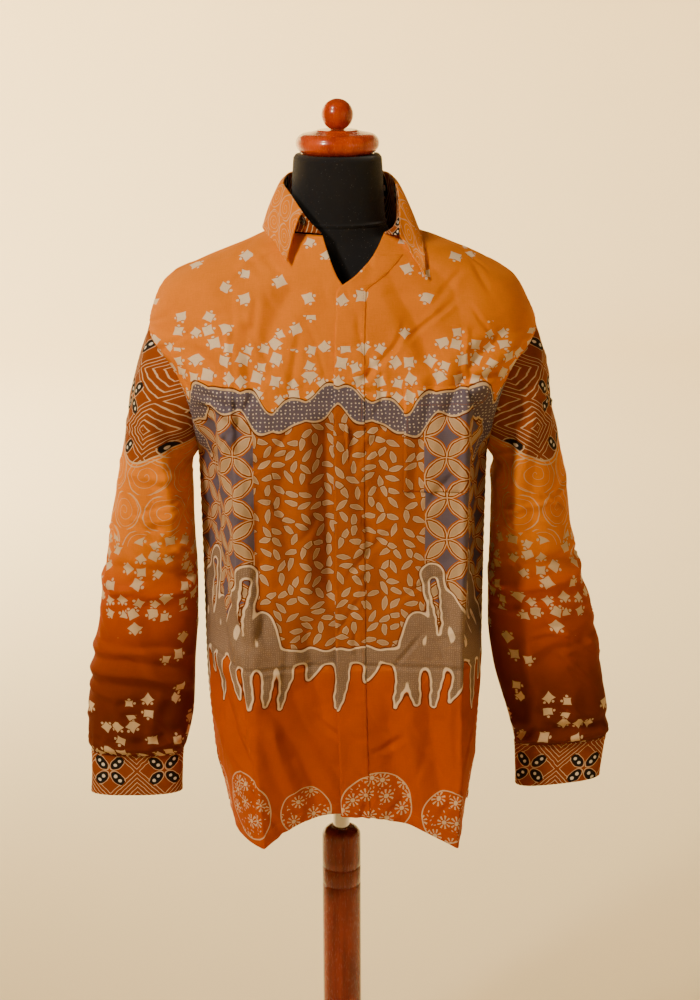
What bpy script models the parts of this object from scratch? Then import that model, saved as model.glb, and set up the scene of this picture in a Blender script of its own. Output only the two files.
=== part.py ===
"""Long-sleeved batik shirt on a limbless dress form and its turned wooden stand.

Metres, +Z up, the shirt's front towards -Y.  The origin is the centre of the stand's
underside.  The wearer's right is at -X and the wearer's left at +X.
Each cloth piece is a wall of one thickness, made from a grid of points on the worn
garment's surface: rings across the body, rings across each sleeve, and strips that
follow the neckline.
"""

import math

import bpy
import numpy as np
from mathutils import Vector

# ---------------------------------------------------------------- driving sizes
CLOTH = 0.0015          # wall of each cloth piece
SEAM_GAP = 0.0003       # clear gap between pieces that are sewn together
LAYER = CLOTH + SEAM_GAP  # from one layer's middle to the next one's

HEM_Z = 0.692
SLIT_TOP_Z = 0.790
UNDERARM_Z = 1.185
SHOULDER_END_Z = 1.345
NECK_Z = 1.465
ARMHOLE_HALF_DEPTH = 0.062
ARMHOLE_STANDOFF = 0.0030     # from the armhole's edge to the middle of the sleeve's own edge
ARMHOLE_HEM = 0.0010          # how far a panel's edge is drawn back from the armhole line
SLIT_FRONT = (0.016, 0.052)   # how far the front's slit edge hangs in, and forward
SLIT_BACK = (0.004, 0.030)
CREASE_SHARE = 0.484          # share of a half panel's points that lie inside the press crease

CUFF_CLOTH = 0.0022
COLLAR_CLOTH = 0.0018
PLACKET_WIDTH = 0.038
PLACKET_SHORT_OF_NECK = 0.008
POCKET_MOUTH_Z = 1.288
POCKET_FOOT_Z = 1.158

TUBE_RADIUS = 0.011
TUBE_TOP_Z = 0.7397
TUBE_LENGTH = 0.340
POLE_RADIUS = 0.0255
POLE_TOP_Z = 0.666
BORE_RADIUS = 0.0114
BORE_FLOOR_Z = 0.300
GROOVE_HEIGHTS = (0.610, 0.585)
GROOVE_HALF_WIDTH = 0.0015
GROOVE_DEPTH = 0.0012
BASE_RADIUS = 0.200
BASE_THICKNESS = 0.032
FORM_BOTTOM_Z = 0.740
FORM_TOP_Z = 1.5532
CAP_RADIUS = 0.051
CAP_THICKNESS = 0.029
FINIAL_RADIUS = 0.0195

# The body's rings, from the hem up.  left/right: side seam, armhole edge or shoulder seam
# from the middle; front/corner/back: depth at the centre front, at the press crease and at
# the centre back; crease_left/crease_right: the two press creases; rise_front/rise_back: how
# much higher the ring is at the centre; roundness: 0 a flat side, 1 a round one.
SHIRT_COLUMNS = ("z", "left", "right", "front", "corner", "back", "crease_left",
                 "crease_right", "rise_front", "rise_back", "roundness")
SHIRT_SECTIONS = (
    (0.692, 0.152, 0.172, 0.100, 0.130, 0.118, 0.098, 0.147, 0.034, 0.000, 0.35),
    (0.790, 0.166, 0.178, 0.108, 0.131, 0.122, 0.104, 0.152, 0.012, 0.000, 0.40),
    (0.900, 0.174, 0.183, 0.115, 0.131, 0.125, 0.108, 0.154, 0.000, 0.000, 0.45),
    (1.050, 0.176, 0.185, 0.121, 0.129, 0.127, 0.114, 0.155, 0.000, 0.000, 0.55),
    (1.185, 0.179, 0.188, 0.125, 0.127, 0.128, 0.124, 0.155, 0.000, 0.000, 0.65),
    (1.240, 0.183, 0.193, 0.126, 0.125, 0.127, 0.128, 0.155, 0.000, 0.000, 0.70),
    (1.290, 0.199, 0.209, 0.124, 0.117, 0.122, 0.131, 0.154, 0.000, 0.000, 0.78),
    (1.345, 0.236, 0.246, 0.118, 0.105, 0.112, 0.134, 0.150, 0.000, 0.000, 0.90),
    (1.380, 0.227, 0.233, 0.114, 0.096, 0.104, 0.134, 0.144, 0.000, 0.000, 1.00),
    (1.402, 0.214, 0.220, 0.110, 0.087, 0.096, 0.132, 0.136, 0.000, 0.002, 1.00),
    (1.425, 0.172, 0.186, 0.102, 0.081, 0.088, 0.106, 0.114, 0.000, 0.006, 1.00),
    (1.446, 0.120, 0.136, 0.091, 0.072, 0.078, 0.074, 0.084, 0.000, 0.012, 1.00),
    (1.465, 0.073, 0.073, 0.078, 0.061, 0.068, 0.045, 0.045, 0.000, 0.019, 1.00),
)
BODY_ROWS = (0.692, 0.740, 0.790, 0.850, 0.920, 1.000, 1.080, 1.130, POCKET_FOOT_Z, 1.185,
             1.212, 1.245, POCKET_MOUTH_Z, 1.318, 1.345, 1.370, 1.390, 1.405, 1.425, 1.440,
             1.454, 1.465)
FRONT_COLUMNS = 17
BACK_COLUMNS = 25
PLACKET_COLUMNS = 2      # columns of the left front that the placket covers
POCKET_COLUMNS = (4, 11)  # the first of the left front's columns under the pocket, and one past the last

# Front edges: distance of each front's own edge from the middle, towards the wearer's left.
EDGE_COLUMNS = ("z", "left_front", "right_front")
FRONT_EDGES = (
    (0.692, 0.000, 0.014),
    (0.950, -0.006, 0.012),
    (1.200, -0.007, 0.011),
    (1.400, -0.003, 0.009),
    (1.420, 0.021, -0.002),
    (1.442, 0.042, -0.011),
    (1.465, 0.056, -0.019),
)

# The sleeves' rings, from just below the armhole to the cuff seam.
SLEEVE_COLUMNS = ("x_out", "z_out", "x_in", "z_in", "half_depth", "squareness")
SLEEVE_RIGHT = (   # wearer's right, at -X
    (0.2500, 1.300, 0.1880, 1.166, 0.067, 0.95),
    (0.2625, 1.243, 0.1870, 1.140, 0.070, 0.92),
    (0.2785, 1.155, 0.1865, 1.095, 0.067, 0.90),
    (0.2890, 1.095, 0.1850, 1.055, 0.063, 0.88),
    (0.2990, 1.036, 0.1835, 1.010, 0.057, 0.86),
    (0.3090, 0.973, 0.1850, 0.958, 0.054, 0.85),
    (0.3167, 0.913, 0.1893, 0.905, 0.050, 0.84),
    (0.3258, 0.845, 0.1930, 0.838, 0.044, 0.82),
    (0.3285, 0.797, 0.2030, 0.792, 0.036, 0.80),
    (0.3272, 0.779, 0.2090, 0.777, 0.026, 0.80),
)
SLEEVE_LEFT = (    # wearer's left, at +X
    (0.2570, 1.300, 0.1970, 1.166, 0.067, 0.95),
    (0.2645, 1.248, 0.1950, 1.140, 0.070, 0.92),
    (0.2835, 1.155, 0.1945, 1.095, 0.067, 0.90),
    (0.2920, 1.100, 0.1930, 1.055, 0.063, 0.88),
    (0.3000, 1.055, 0.1920, 1.010, 0.057, 0.86),
    (0.3235, 0.970, 0.1925, 0.955, 0.054, 0.85),
    (0.3370, 0.900, 0.2000, 0.898, 0.050, 0.84),
    (0.3450, 0.838, 0.2180, 0.835, 0.044, 0.82),
    (0.3485, 0.808, 0.2275, 0.800, 0.036, 0.80),
    (0.3475, 0.797, 0.2300, 0.787, 0.026, 0.80),
)
CUFF_RIGHT = (
    (0.3278, 0.7787, 0.2086, 0.7767, 0.0245, 0.78),
    (0.3290, 0.7200, 0.2115, 0.7210, 0.0225, 0.78),
)
CUFF_LEFT = (
    (0.3481, 0.7967, 0.2296, 0.7867, 0.0245, 0.78),
    (0.3405, 0.7400, 0.2320, 0.7270, 0.0225, 0.78),
)

# The largest folds, as soft troughs (depth < 0) or ridges (depth > 0) along a line in the
# front view.
FOLD_COLUMNS = ("piece", "x_start", "z_start", "x_end", "z_end", "half_width", "depth")
LARGEST_FOLDS = (
    ("front_right", -0.016, 1.240, -0.013, 1.020, 0.020, -0.007),
    ("front_right", -0.165, 1.260, -0.152, 0.930, 0.020, -0.008),
    ("front_right", -0.060, 0.900, -0.010, 0.790, 0.022, -0.004),
    ("front_left", 0.172, 1.270, 0.174, 0.960, 0.018, -0.008),
    ("front_left", 0.060, 0.860, 0.085, 0.720, 0.024, -0.004),
    ("back", -0.085, 1.360, -0.060, 0.800, 0.028, -0.007),
    ("back", 0.090, 1.350, 0.070, 0.760, 0.028, -0.007),
    ("back", 0.010, 1.120, 0.020, 0.740, 0.026, -0.005),
    ("sleeve_right", -0.300, 1.020, -0.185, 1.012, 0.014, -0.004),
    ("sleeve_right", -0.320, 0.900, -0.190, 0.880, 0.014, -0.005),
    ("sleeve_right", -0.235, 1.240, -0.212, 1.090, 0.014, -0.006),
    ("sleeve_left", 0.305, 1.030, 0.192, 1.010, 0.014, -0.004),
    ("sleeve_left", 0.345, 0.835, 0.220, 0.815, 0.012, 0.004),
    ("sleeve_left", 0.240, 1.240, 0.222, 1.090, 0.014, -0.006),
)

# The collar, from the wearer's right front end round the back to the left front end:
# its seam on the neckline, its fold, and the free edge of its leaf.
# Each row: x, y, z of the seam, then of the fold, then of the leaf's edge.
COLLAR_STATIONS = (
    (-0.0200, -0.0775, 1.465, -0.0430, -0.0750, 1.4915, -0.0590, -0.0985, 1.4380),
    (-0.0500, -0.0600, 1.465, -0.0560, -0.0480, 1.5080, -0.0735, -0.0780, 1.4570),
    (-0.0720, -0.0180, 1.465, -0.0665, -0.0120, 1.5200, -0.0885, -0.0240, 1.4680),
    (-0.0650, 0.0300, 1.470, -0.0620, 0.0360, 1.5250, -0.0800, 0.0440, 1.4700),
    (-0.0380, 0.0600, 1.478, -0.0370, 0.0640, 1.5280, -0.0460, 0.0790, 1.4700),
    (0.0000, 0.0680, 1.484, 0.0000, 0.0735, 1.5290, 0.0000, 0.0880, 1.4720),
    (0.0380, 0.0600, 1.478, 0.0370, 0.0640, 1.5280, 0.0460, 0.0790, 1.4700),
    (0.0650, 0.0300, 1.470, 0.0640, 0.0360, 1.5250, 0.0820, 0.0440, 1.4720),
    (0.0725, -0.0120, 1.465, 0.0720, -0.0120, 1.5150, 0.0930, -0.0220, 1.4700),
    (0.0670, -0.0380, 1.465, 0.0750, -0.0440, 1.4920, 0.1000, -0.0600, 1.4500),
    (0.0560, -0.0600, 1.463, 0.0745, -0.0740, 1.4640, 0.1030, -0.1000, 1.4200),
)
LEAF_STANDOFF = 0.0026
LEAF_OFF_FRONT = 0.0055
LEAF_BULGE = (0.0, 0.0020, 0.0015, 0.0)   # how far each row of the leaf stands off more
STAND_LIFT = 0.0008           # keeps the stand's foot off the curved neckline
BUTTON_LIFT = 0.0010          # keeps a flat button off the curved cloth
CUFF_BUTTON_ANGLE = math.radians(285)

# The dress form's rings from its flat underside to the top of its neck.
FORM_COLUMNS = ("z", "half_width", "front", "back")
FORM_SECTIONS = (
    (0.740, 0.148, 0.090, 0.100),
    (0.800, 0.150, 0.094, 0.104),
    (0.900, 0.146, 0.096, 0.104),
    (1.000, 0.132, 0.094, 0.092),
    (1.080, 0.130, 0.096, 0.090),
    (1.180, 0.142, 0.104, 0.100),
    (1.260, 0.152, 0.108, 0.104),
    (1.320, 0.166, 0.102, 0.096),
    (1.360, 0.172, 0.092, 0.086),
    (1.385, 0.166, 0.084, 0.078),
    (1.405, 0.146, 0.076, 0.070),
    (1.425, 0.112, 0.068, 0.064),
    (1.442, 0.082, 0.061, 0.059),
    (1.458, 0.064, 0.057, 0.057),
    (1.480, 0.058, 0.056, 0.056),
    (1.520, 0.056, 0.055, 0.055),
    (1.5532, 0.054, 0.054, 0.054),
)


# ---------------------------------------------------------------- interpolation
def smooth_row(table, key_index, key):
    """The table's row at key, on a cubic through the rows' values that doesn't overshoot."""
    rows = np.asarray(table, float)
    keys = rows[:, key_index]
    step = np.diff(keys)[:, None]
    slope = np.diff(rows, axis=0) / step
    tangent = np.zeros_like(rows)
    same_way = slope[:-1] * slope[1:] > 0
    total = np.where(same_way, slope[:-1] + slope[1:], 1.0)
    tangent[1:-1] = np.where(same_way, 2.0 * slope[:-1] * slope[1:] / total, 0.0)
    tangent[0] = slope[0]
    tangent[-1] = slope[-1]
    at = int(np.clip(np.searchsorted(keys, key) - 1, 0, len(keys) - 2))
    span = keys[at + 1] - keys[at]
    t = float(np.clip((key - keys[at]) / span, 0.0, 1.0))
    return (rows[at] * (1 + 2 * t) * (1 - t) ** 2 + tangent[at] * span * t * (1 - t) ** 2
            + rows[at + 1] * t * t * (3 - 2 * t) + tangent[at + 1] * span * t * t * (t - 1))


def section_at(columns, table, z):
    """A table's named values at height z."""
    return dict(zip(columns, smooth_row(table, columns.index("z"), z)))


def station_at(table, t):
    """A table's row at t from 0 (first row) to 1 (last row), smoothly."""
    numbered = [(index, *row) for index, row in enumerate(table)]
    return smooth_row(numbered, 0, t * (len(table) - 1))[1:]


def signed_power(value, exponent):
    return math.copysign(abs(value) ** exponent, value)


# ---------------------------------------------------------------- the body's surface
def side_edge(z, wearers_side, face):
    """The outer end of a ring at z: (distance from the middle, depth towards -Y)."""
    ring = section_at(SHIRT_COLUMNS, SHIRT_SECTIONS, z)
    out = ring["right" if wearers_side > 0 else "left"]
    depth = 0.0
    if UNDERARM_Z < z < SHOULDER_END_Z:
        share = (z - UNDERARM_Z) / (SHOULDER_END_Z - UNDERARM_Z)
        depth = ARMHOLE_HALF_DEPTH * math.sin(math.pi * share) ** 0.75
    if z < SLIT_TOP_Z:
        inward, away = SLIT_FRONT if face == "front" else SLIT_BACK
        share = (SLIT_TOP_Z - z) / (SLIT_TOP_Z - HEM_Z)
        out -= inward * share
        depth = away * share
    return out, depth


def body_point(z, share, face):
    """A point of the front or back surface.

    share runs from 0 at the middle to 1 at the edge on the wearer's left and -1 on the
    wearer's right.
    """
    wearers_side = 1.0 if share >= 0 else -1.0
    share = abs(share)
    ring = section_at(SHIRT_COLUMNS, SHIRT_SECTIONS, z)
    crease = ring["crease_right" if wearers_side > 0 else "crease_left"]
    middle_depth = ring[face]
    corner_depth = ring["corner"] if face == "front" else ring["back"] * ring["corner"] / ring["front"]
    corner_depth = min(corner_depth, 0.131)
    out, edge_depth = side_edge(z, wearers_side, face)
    if share <= CREASE_SHARE:
        t = share / CREASE_SHARE
        x = crease * t
        depth = middle_depth + (corner_depth - middle_depth) * t * t
    else:
        t = (share - CREASE_SHARE) / (1.0 - CREASE_SHARE)
        roundness = ring["roundness"]
        x = crease + (out - crease) * ((1 - roundness) * t + roundness * math.sin(math.pi * t / 2))
        inward = (1 - roundness) * t + roundness * (1 - math.cos(math.pi * t / 2))
        depth = corner_depth + (edge_depth - corner_depth) * inward
    rise = ring["rise_front" if face == "front" else "rise_back"]
    lifted = z + rise * max(0.0, 1.0 - (x / max(crease, 0.03)) ** 2)
    y = -depth if face == "front" else depth
    return np.array((wearers_side * x, y, lifted))


def share_at_x(z, x, face="front"):
    """The share at which the ring at z has this x, by halving."""
    low, high = (0.0, 1.0) if x >= 0 else (-1.0, 0.0)
    for _ in range(40):
        middle = (low + high) / 2
        if body_point(z, middle, face)[0] < x:
            low = middle
        else:
            high = middle
    return (low + high) / 2


def spread(start, end, count):
    return [start + (end - start) * index / (count - 1) for index in range(count)]


# ---------------------------------------------------------------- folds and walls
def surface_normals(grid, closed):
    """Unit normals of a grid of points; closed: its columns go round a tube."""
    if closed:
        wide = np.concatenate((grid[:, -1:], grid, grid[:, :1]), axis=1)
        across = wide[:, 2:] - wide[:, :-2]
    else:
        across = np.gradient(grid, axis=1)
    along = np.gradient(grid, axis=0)
    normals = np.cross(across, along)
    return normals / np.linalg.norm(normals, axis=2, keepdims=True)


def folded(name, grid, closed=False, outward=1.0):
    """The grid with this piece's largest folds pressed into it."""
    normals = surface_normals(grid, closed) * outward
    moved = grid.copy()
    for row in LARGEST_FOLDS:
        fold = dict(zip(FOLD_COLUMNS, row))
        if fold["piece"] != name:
            continue
        start = np.array((fold["x_start"], fold["z_start"]))
        run = np.array((fold["x_end"], fold["z_end"])) - start
        length = np.linalg.norm(run)
        from_start = grid[:, :, (0, 2)] - start
        along = from_start @ run / length ** 2
        beside = (from_start[..., 0] * run[1] - from_start[..., 1] * run[0]) / length
        past_end = np.clip(np.abs(along - 0.5) - 0.5, 0, None) * length
        strength = np.exp(-(beside ** 2 + past_end ** 2) / fold["half_width"] ** 2)
        moved += normals * (fold["depth"] * strength)[..., None]
    return moved


def drawn_in(grid, sides, gap):
    """The grid with its named border rows moved inwards by gap."""
    moved = grid.copy()
    if "first_column" in sides:
        moved[:, 0] += gap * unit(grid[:, 1] - grid[:, 0])
    if "last_column" in sides:
        moved[:, -1] += gap * unit(grid[:, -2] - grid[:, -1])
    if "first_row" in sides:
        moved[0] += gap * unit(grid[1] - grid[0])
    if "last_row" in sides:
        moved[-1] += gap * unit(grid[-2] - grid[-1])
    return moved


def unit(vectors):
    return vectors / np.linalg.norm(vectors, axis=-1, keepdims=True)


def add_mesh(name, vertices, faces, material):
    mesh = bpy.data.meshes.new(name)
    mesh.from_pydata([tuple(vertex) for vertex in vertices], [], faces)
    mesh.validate()
    mesh.materials.append(material)
    mesh.shade_smooth()
    mesh.set_sharp_from_angle(angle=math.radians(50))
    placed = bpy.data.objects.new(name, mesh)
    bpy.context.scene.collection.objects.link(placed)
    return placed


def add_wall(name, grid, material, thickness=CLOTH, closed=False, outward=1.0, offset=0.0,
             normals=None):
    """A closed wall on both sides of the grid, moved out by offset.

    Every wall is cut into triangles along the same diagonals, so layers stay parallel.
    """
    rows, columns = grid.shape[:2]
    if normals is None:
        normals = surface_normals(grid, closed) * outward
    outer = grid + normals * (offset + thickness / 2)
    inner = grid + normals * (offset - thickness / 2)
    vertices = np.concatenate((outer.reshape(-1, 3), inner.reshape(-1, 3)))
    half = rows * columns

    def corner(row, column):
        return row * columns + column % columns

    faces = []
    for row in range(rows - 1):
        for column in range(columns if closed else columns - 1):
            near, far = corner(row, column), corner(row + 1, column + 1)
            for third in ((near, corner(row, column + 1), far), (near, far, corner(row + 1, column))):
                faces.append(third)
                faces.append(tuple(half + index for index in reversed(third)))
    border = []
    for column in range(columns if closed else columns - 1):
        border.append((corner(0, column), corner(0, column + 1)))
        border.append((corner(rows - 1, column + 1), corner(rows - 1, column)))
    if not closed:
        for row in range(rows - 1):
            border.append((corner(row, columns - 1), corner(row + 1, columns - 1)))
            border.append((corner(row + 1, 0), corner(row, 0)))
    faces.extend((first, half + first, half + second, second) for first, second in border)
    if outward < 0:
        faces = [tuple(reversed(face)) for face in faces]
    return add_mesh(name, vertices, faces, material)


# ---------------------------------------------------------------- fronts, back, placket, pocket
def front_edge_x(z, which):
    return section_at(EDGE_COLUMNS, FRONT_EDGES, z)[which]


def share_further_on(z, start, distance):
    """The share this far round the front's ring at z from the share start."""
    shares = spread(start, 1.0, 80)
    points = np.array([body_point(z, share, "front") for share in shares])
    steps = np.linalg.norm(np.diff(points, axis=0), axis=1)
    return float(np.interp(distance, np.concatenate(((0.0,), np.cumsum(steps))), shares))


def left_front_grid():
    """Rows from the opening to the side; the placket covers the first columns."""
    rows = []
    for z in BODY_ROWS:
        edge = share_at_x(z, front_edge_x(z, "left_front"))
        placket = [share_further_on(z, edge, PLACKET_WIDTH * part / PLACKET_COLUMNS)
                   for part in range(PLACKET_COLUMNS)]
        rest = spread(share_further_on(z, edge, PLACKET_WIDTH), 1.0, FRONT_COLUMNS - PLACKET_COLUMNS)
        rows.append([body_point(z, share, "front") for share in placket + rest])
    return folded("front_left", np.array(rows))


def right_front_grid():
    rows = []
    for z in BODY_ROWS:
        edge = share_at_x(z, front_edge_x(z, "right_front"))
        rows.append([body_point(z, share, "front") for share in spread(edge, -1.0, FRONT_COLUMNS)])
    return folded("front_right", np.array(rows), outward=-1.0)


def add_fronts(cloth):
    """The two fronts, and the placket and chest pocket from the left front's own points."""
    sewn = ("last_column", "last_row")
    left = left_front_grid()
    normals = surface_normals(left, False)
    add_wall("front_left", drawn_in(left, sewn, ARMHOLE_HEM), cloth, normals=normals)
    right = right_front_grid()
    add_wall("front_right", drawn_in(right, sewn, ARMHOLE_HEM), cloth, outward=-1.0, offset=-LAYER)

    strip = (slice(None), slice(0, PLACKET_COLUMNS + 1))
    placket = drawn_in(left[strip], ("last_row",), PLACKET_SHORT_OF_NECK)
    add_wall("placket", placket, cloth, normals=normals[strip], offset=LAYER)
    patch = (slice(BODY_ROWS.index(POCKET_FOOT_Z), BODY_ROWS.index(POCKET_MOUTH_Z) + 1),
             slice(*POCKET_COLUMNS))
    add_wall("chest_pocket", left[patch], cloth, normals=normals[patch], offset=LAYER)


def add_back(cloth):
    shares = spread(1.0, -1.0, BACK_COLUMNS)
    grid = folded("back", np.array([[body_point(z, share, "back") for share in shares]
                                    for z in BODY_ROWS]))
    sewn = ("first_column", "last_column", "last_row")
    add_wall("back", drawn_in(grid, sewn, ARMHOLE_HEM), cloth)


# ---------------------------------------------------------------- sleeves and cuffs
def armhole_point(angle, wearers_side):
    """The armhole's edge: angle 0 at the shoulder's end, pi at the underarm."""
    share = (1 + math.cos(angle)) / 2
    z = UNDERARM_Z + (SHOULDER_END_Z - UNDERARM_Z) * share
    ring = section_at(SHIRT_COLUMNS, SHIRT_SECTIONS, z)
    out = ring["right" if wearers_side > 0 else "left"]
    depth = ARMHOLE_HALF_DEPTH * max(0.0, math.sin(math.pi * share)) ** 0.75
    return np.array((wearers_side * out, -math.copysign(depth, math.sin(angle)), z))


def ring_point(values, angle, wearers_side):
    ring = dict(zip(SLEEVE_COLUMNS, values))
    across = signed_power(math.cos(angle), ring["squareness"])
    around = signed_power(math.sin(angle), ring["squareness"])
    x = (ring["x_out"] + ring["x_in"]) / 2 + (ring["x_out"] - ring["x_in"]) / 2 * across
    z = (ring["z_out"] + ring["z_in"]) / 2 + (ring["z_out"] - ring["z_in"]) / 2 * across
    return np.array((wearers_side * x, -ring["half_depth"] * around, z))


def add_sleeve(name, sections, wearers_side, cloth, around=24):
    """A tube from the armhole to the cuff seam, whose first ring is just off the armhole."""
    angles = [2 * math.pi * index / around for index in range(around)]
    rings = [[ring_point(values, angle, wearers_side) for angle in angles] for values in sections]
    edge = np.array([armhole_point(angle, wearers_side) for angle in angles])
    first = edge + unit(np.array(rings[0]) - edge) * ARMHOLE_STANDOFF
    grid = np.concatenate((first[None], np.array(rings)))
    outward = -wearers_side
    add_wall(name, folded(name, grid, closed=True, outward=outward), cloth, closed=True,
             outward=outward)


def add_cuff(name, sections, wearers_side, cloth, around=24):
    angles = [2 * math.pi * index / around for index in range(around)]
    grid = [[ring_point(values, angle, wearers_side) for angle in angles] for values in sections]
    return add_wall(name, np.array(grid), cloth, thickness=CUFF_CLOTH, closed=True,
                    outward=-wearers_side)


# ---------------------------------------------------------------- collar
def collar_rows(parts, count=27):
    """Rows of the collar between named points of its stations."""
    rows = []
    for weights in parts:
        row = []
        for t in spread(0.0, 1.0, count):
            station = station_at(COLLAR_STATIONS, t)
            seam, fold, edge = station[0:3], station[3:6], station[6:9]
            row.append(seam * weights[0] + fold * weights[1] + edge * weights[2])
        rows.append(row)
    return np.array(rows)


def in_front_of_fronts(point):
    """The y that keeps a point of the leaf off the front that it lies on."""
    x, y, z = point
    if y > 0 or z > NECK_Z:
        return y
    return body_point(z, share_at_x(z, x), "front")[1] - LEAF_OFF_FRONT


def add_collar(cloth):
    """The stand from the neckline to the fold, and the leaf that turns down from the fold."""
    stand = collar_rows(((1, 0, 0), (0.5, 0.5, 0), (0, 1, 0)))
    stand[0, :, 2] += CLOTH / 2 + SEAM_GAP + STAND_LIFT
    add_wall("collar_stand", stand, cloth, thickness=COLLAR_CLOTH, outward=-1.0)
    leaf = collar_rows(((0, 1, 0), (0, 0.66, 0.34), (0, 0.33, 0.67), (0, 0, 1)))
    outwards = -surface_normals(stand, False)[-1]
    for row, extra in enumerate(LEAF_BULGE):
        leaf[row] += outwards * (LEAF_STANDOFF + extra)
        for point in leaf[row]:
            point[1] = min(point[1], in_front_of_fronts(point))
    add_wall("collar_leaf", leaf[::-1], cloth, thickness=COLLAR_CLOTH, outward=-1.0)


# ---------------------------------------------------------------- turned and round pieces
def add_turned(name, profile, material, steps=48):
    """A solid of revolution about the Z axis; profile: (radius, z) from its top to its foot."""
    ends_on_axis = [(0.0, profile[0][1])] if profile[0][0] > 0 else []
    points = ends_on_axis + list(profile)
    if points[-1][0] > 0:
        points.append((0.0, points[-1][1]))
    vertices = []
    rings = []
    for radius, z in points:
        if radius == 0:
            rings.append((len(vertices),))
            vertices.append((0.0, 0.0, z))
            continue
        rings.append(tuple(range(len(vertices), len(vertices) + steps)))
        vertices.extend((radius * math.cos(2 * math.pi * step / steps),
                         radius * math.sin(2 * math.pi * step / steps), z)
                        for step in range(steps))
    faces = []
    for upper, lower in zip(rings, rings[1:]):
        for step in range(steps):
            following = (step + 1) % steps
            if len(upper) == 1:
                faces.append((upper[0], lower[step], lower[following]))
            elif len(lower) == 1:
                faces.append((upper[following], upper[step], lower[0]))
            else:
                faces.append((upper[following], upper[step], lower[step], lower[following]))
    return add_mesh(name, vertices, faces, material)


def arc(centre_r, centre_z, radius, start, end, count):
    """Points of an arc in the (radius, z) plane; angles in degrees from +r towards +z."""
    return [(centre_r + radius * math.cos(math.radians(angle)),
             centre_z + radius * math.sin(math.radians(angle)))
            for angle in spread(start, end, count)]


def add_stand(wood):
    rounding = 0.010
    base = arc(BASE_RADIUS - rounding, BASE_THICKNESS - rounding, rounding, 90, 0, 5)
    add_turned("stand_base", base + [(BASE_RADIUS, 0.0)], wood, steps=64)
    pole = [(0.0, BORE_FLOOR_Z), (BORE_RADIUS, BORE_FLOOR_Z), (BORE_RADIUS, POLE_TOP_Z)]
    dome = POLE_RADIUS - BORE_RADIUS - 0.002
    pole += arc(POLE_RADIUS - dome, POLE_TOP_Z - dome, dome, 90, 0, 6)
    for height in GROOVE_HEIGHTS:
        pole += [(POLE_RADIUS, height + GROOVE_HALF_WIDTH),
                 (POLE_RADIUS - GROOVE_DEPTH, height),
                 (POLE_RADIUS, height - GROOVE_HALF_WIDTH)]
    add_turned("stand_pole", pole + [(POLE_RADIUS, BASE_THICKNESS + SEAM_GAP)], wood)


def add_height_tube(chrome):
    foot = TUBE_TOP_Z - TUBE_LENGTH
    add_turned("height_tube", [(TUBE_RADIUS, TUBE_TOP_Z), (TUBE_RADIUS, foot)], chrome, steps=32)


def add_dress_form(jersey, rows=30, around=40):
    """A closed torso and neck, flat underneath and on top."""
    vertices = []
    for z in spread(FORM_TOP_Z, FORM_BOTTOM_Z, rows):
        ring = section_at(FORM_COLUMNS, FORM_SECTIONS, z)
        for step in range(around):
            angle = 2 * math.pi * step / around
            depth = ring["front"] if math.sin(angle) < 0 else ring["back"]
            vertices.append((ring["half_width"] * math.cos(angle), depth * math.sin(angle), z))
    faces = [tuple(range(around)), tuple(reversed(range((rows - 1) * around, rows * around)))]
    for row in range(rows - 1):
        for step in range(around):
            following = (step + 1) % around
            faces.append((row * around + following, row * around + step,
                          (row + 1) * around + step, (row + 1) * around + following))
    add_mesh("dress_form", vertices, faces, jersey)


def add_cap_and_finial(wood):
    foot = FORM_TOP_Z + SEAM_GAP
    top = foot + CAP_THICKNESS
    lip = CAP_THICKNESS * 0.42
    cap = [(0.022, top), (CAP_RADIUS - lip - 0.004, top - 0.002)]
    cap += arc(CAP_RADIUS - lip, top - 0.004 - lip, lip, 80, -80, 9)
    cap += [(CAP_RADIUS - 0.006, foot)]
    add_turned("neck_cap", cap, wood)
    centre = top + SEAM_GAP + FINIAL_RADIUS * math.cos(math.radians(24))
    ball = arc(0.0, centre, FINIAL_RADIUS, 90, -66, 14)
    ball[0] = (0.0, centre + FINIAL_RADIUS)
    add_turned("cap_finial", ball, wood, steps=32)


# ---------------------------------------------------------------- buttons
def add_button(name, centre, facing, material, radius=0.0055, thickness=0.0024):
    """A small disc with a rounded rim whose face looks along facing."""
    rim = thickness * 0.3
    profile = [(radius - rim, thickness), (radius, thickness - rim), (radius, 0.0)]
    button = add_turned(name, profile, material, steps=16)
    turn = np.asarray(facing, float) / np.linalg.norm(facing)
    button.location = centre
    button.rotation_mode = "QUATERNION"
    button.rotation_quaternion = Vector(turn).to_track_quat("Z", "Y")
    return button


def add_buttons(black):
    """One on the collar stand's right end, and one on the outside of each cuff, at the back."""
    stand = collar_rows(((1, 0, 0), (0.5, 0.5, 0), (0, 1, 0)))
    normal = -surface_normals(stand, False)[1, 1]
    add_button("collar_button", stand[1, 1] + normal * (COLLAR_CLOTH / 2 + SEAM_GAP + BUTTON_LIFT),
               normal, black)
    for name, sections, wearers_side in (("cuff_button_right", CUFF_RIGHT, -1.0),
                                         ("cuff_button_left", CUFF_LEFT, 1.0)):
        middle = np.mean(np.asarray(sections), axis=0)
        on_cuff = ring_point(middle, CUFF_BUTTON_ANGLE, wearers_side)
        ahead = ring_point(middle, CUFF_BUTTON_ANGLE + 0.05, wearers_side) - on_cuff
        normal = unit(np.cross(ahead, (0.0, 0.0, 1.0)) * wearers_side)
        add_button(name, on_cuff + normal * (CUFF_CLOTH / 2 + SEAM_GAP + BUTTON_LIFT), normal, black)


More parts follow.
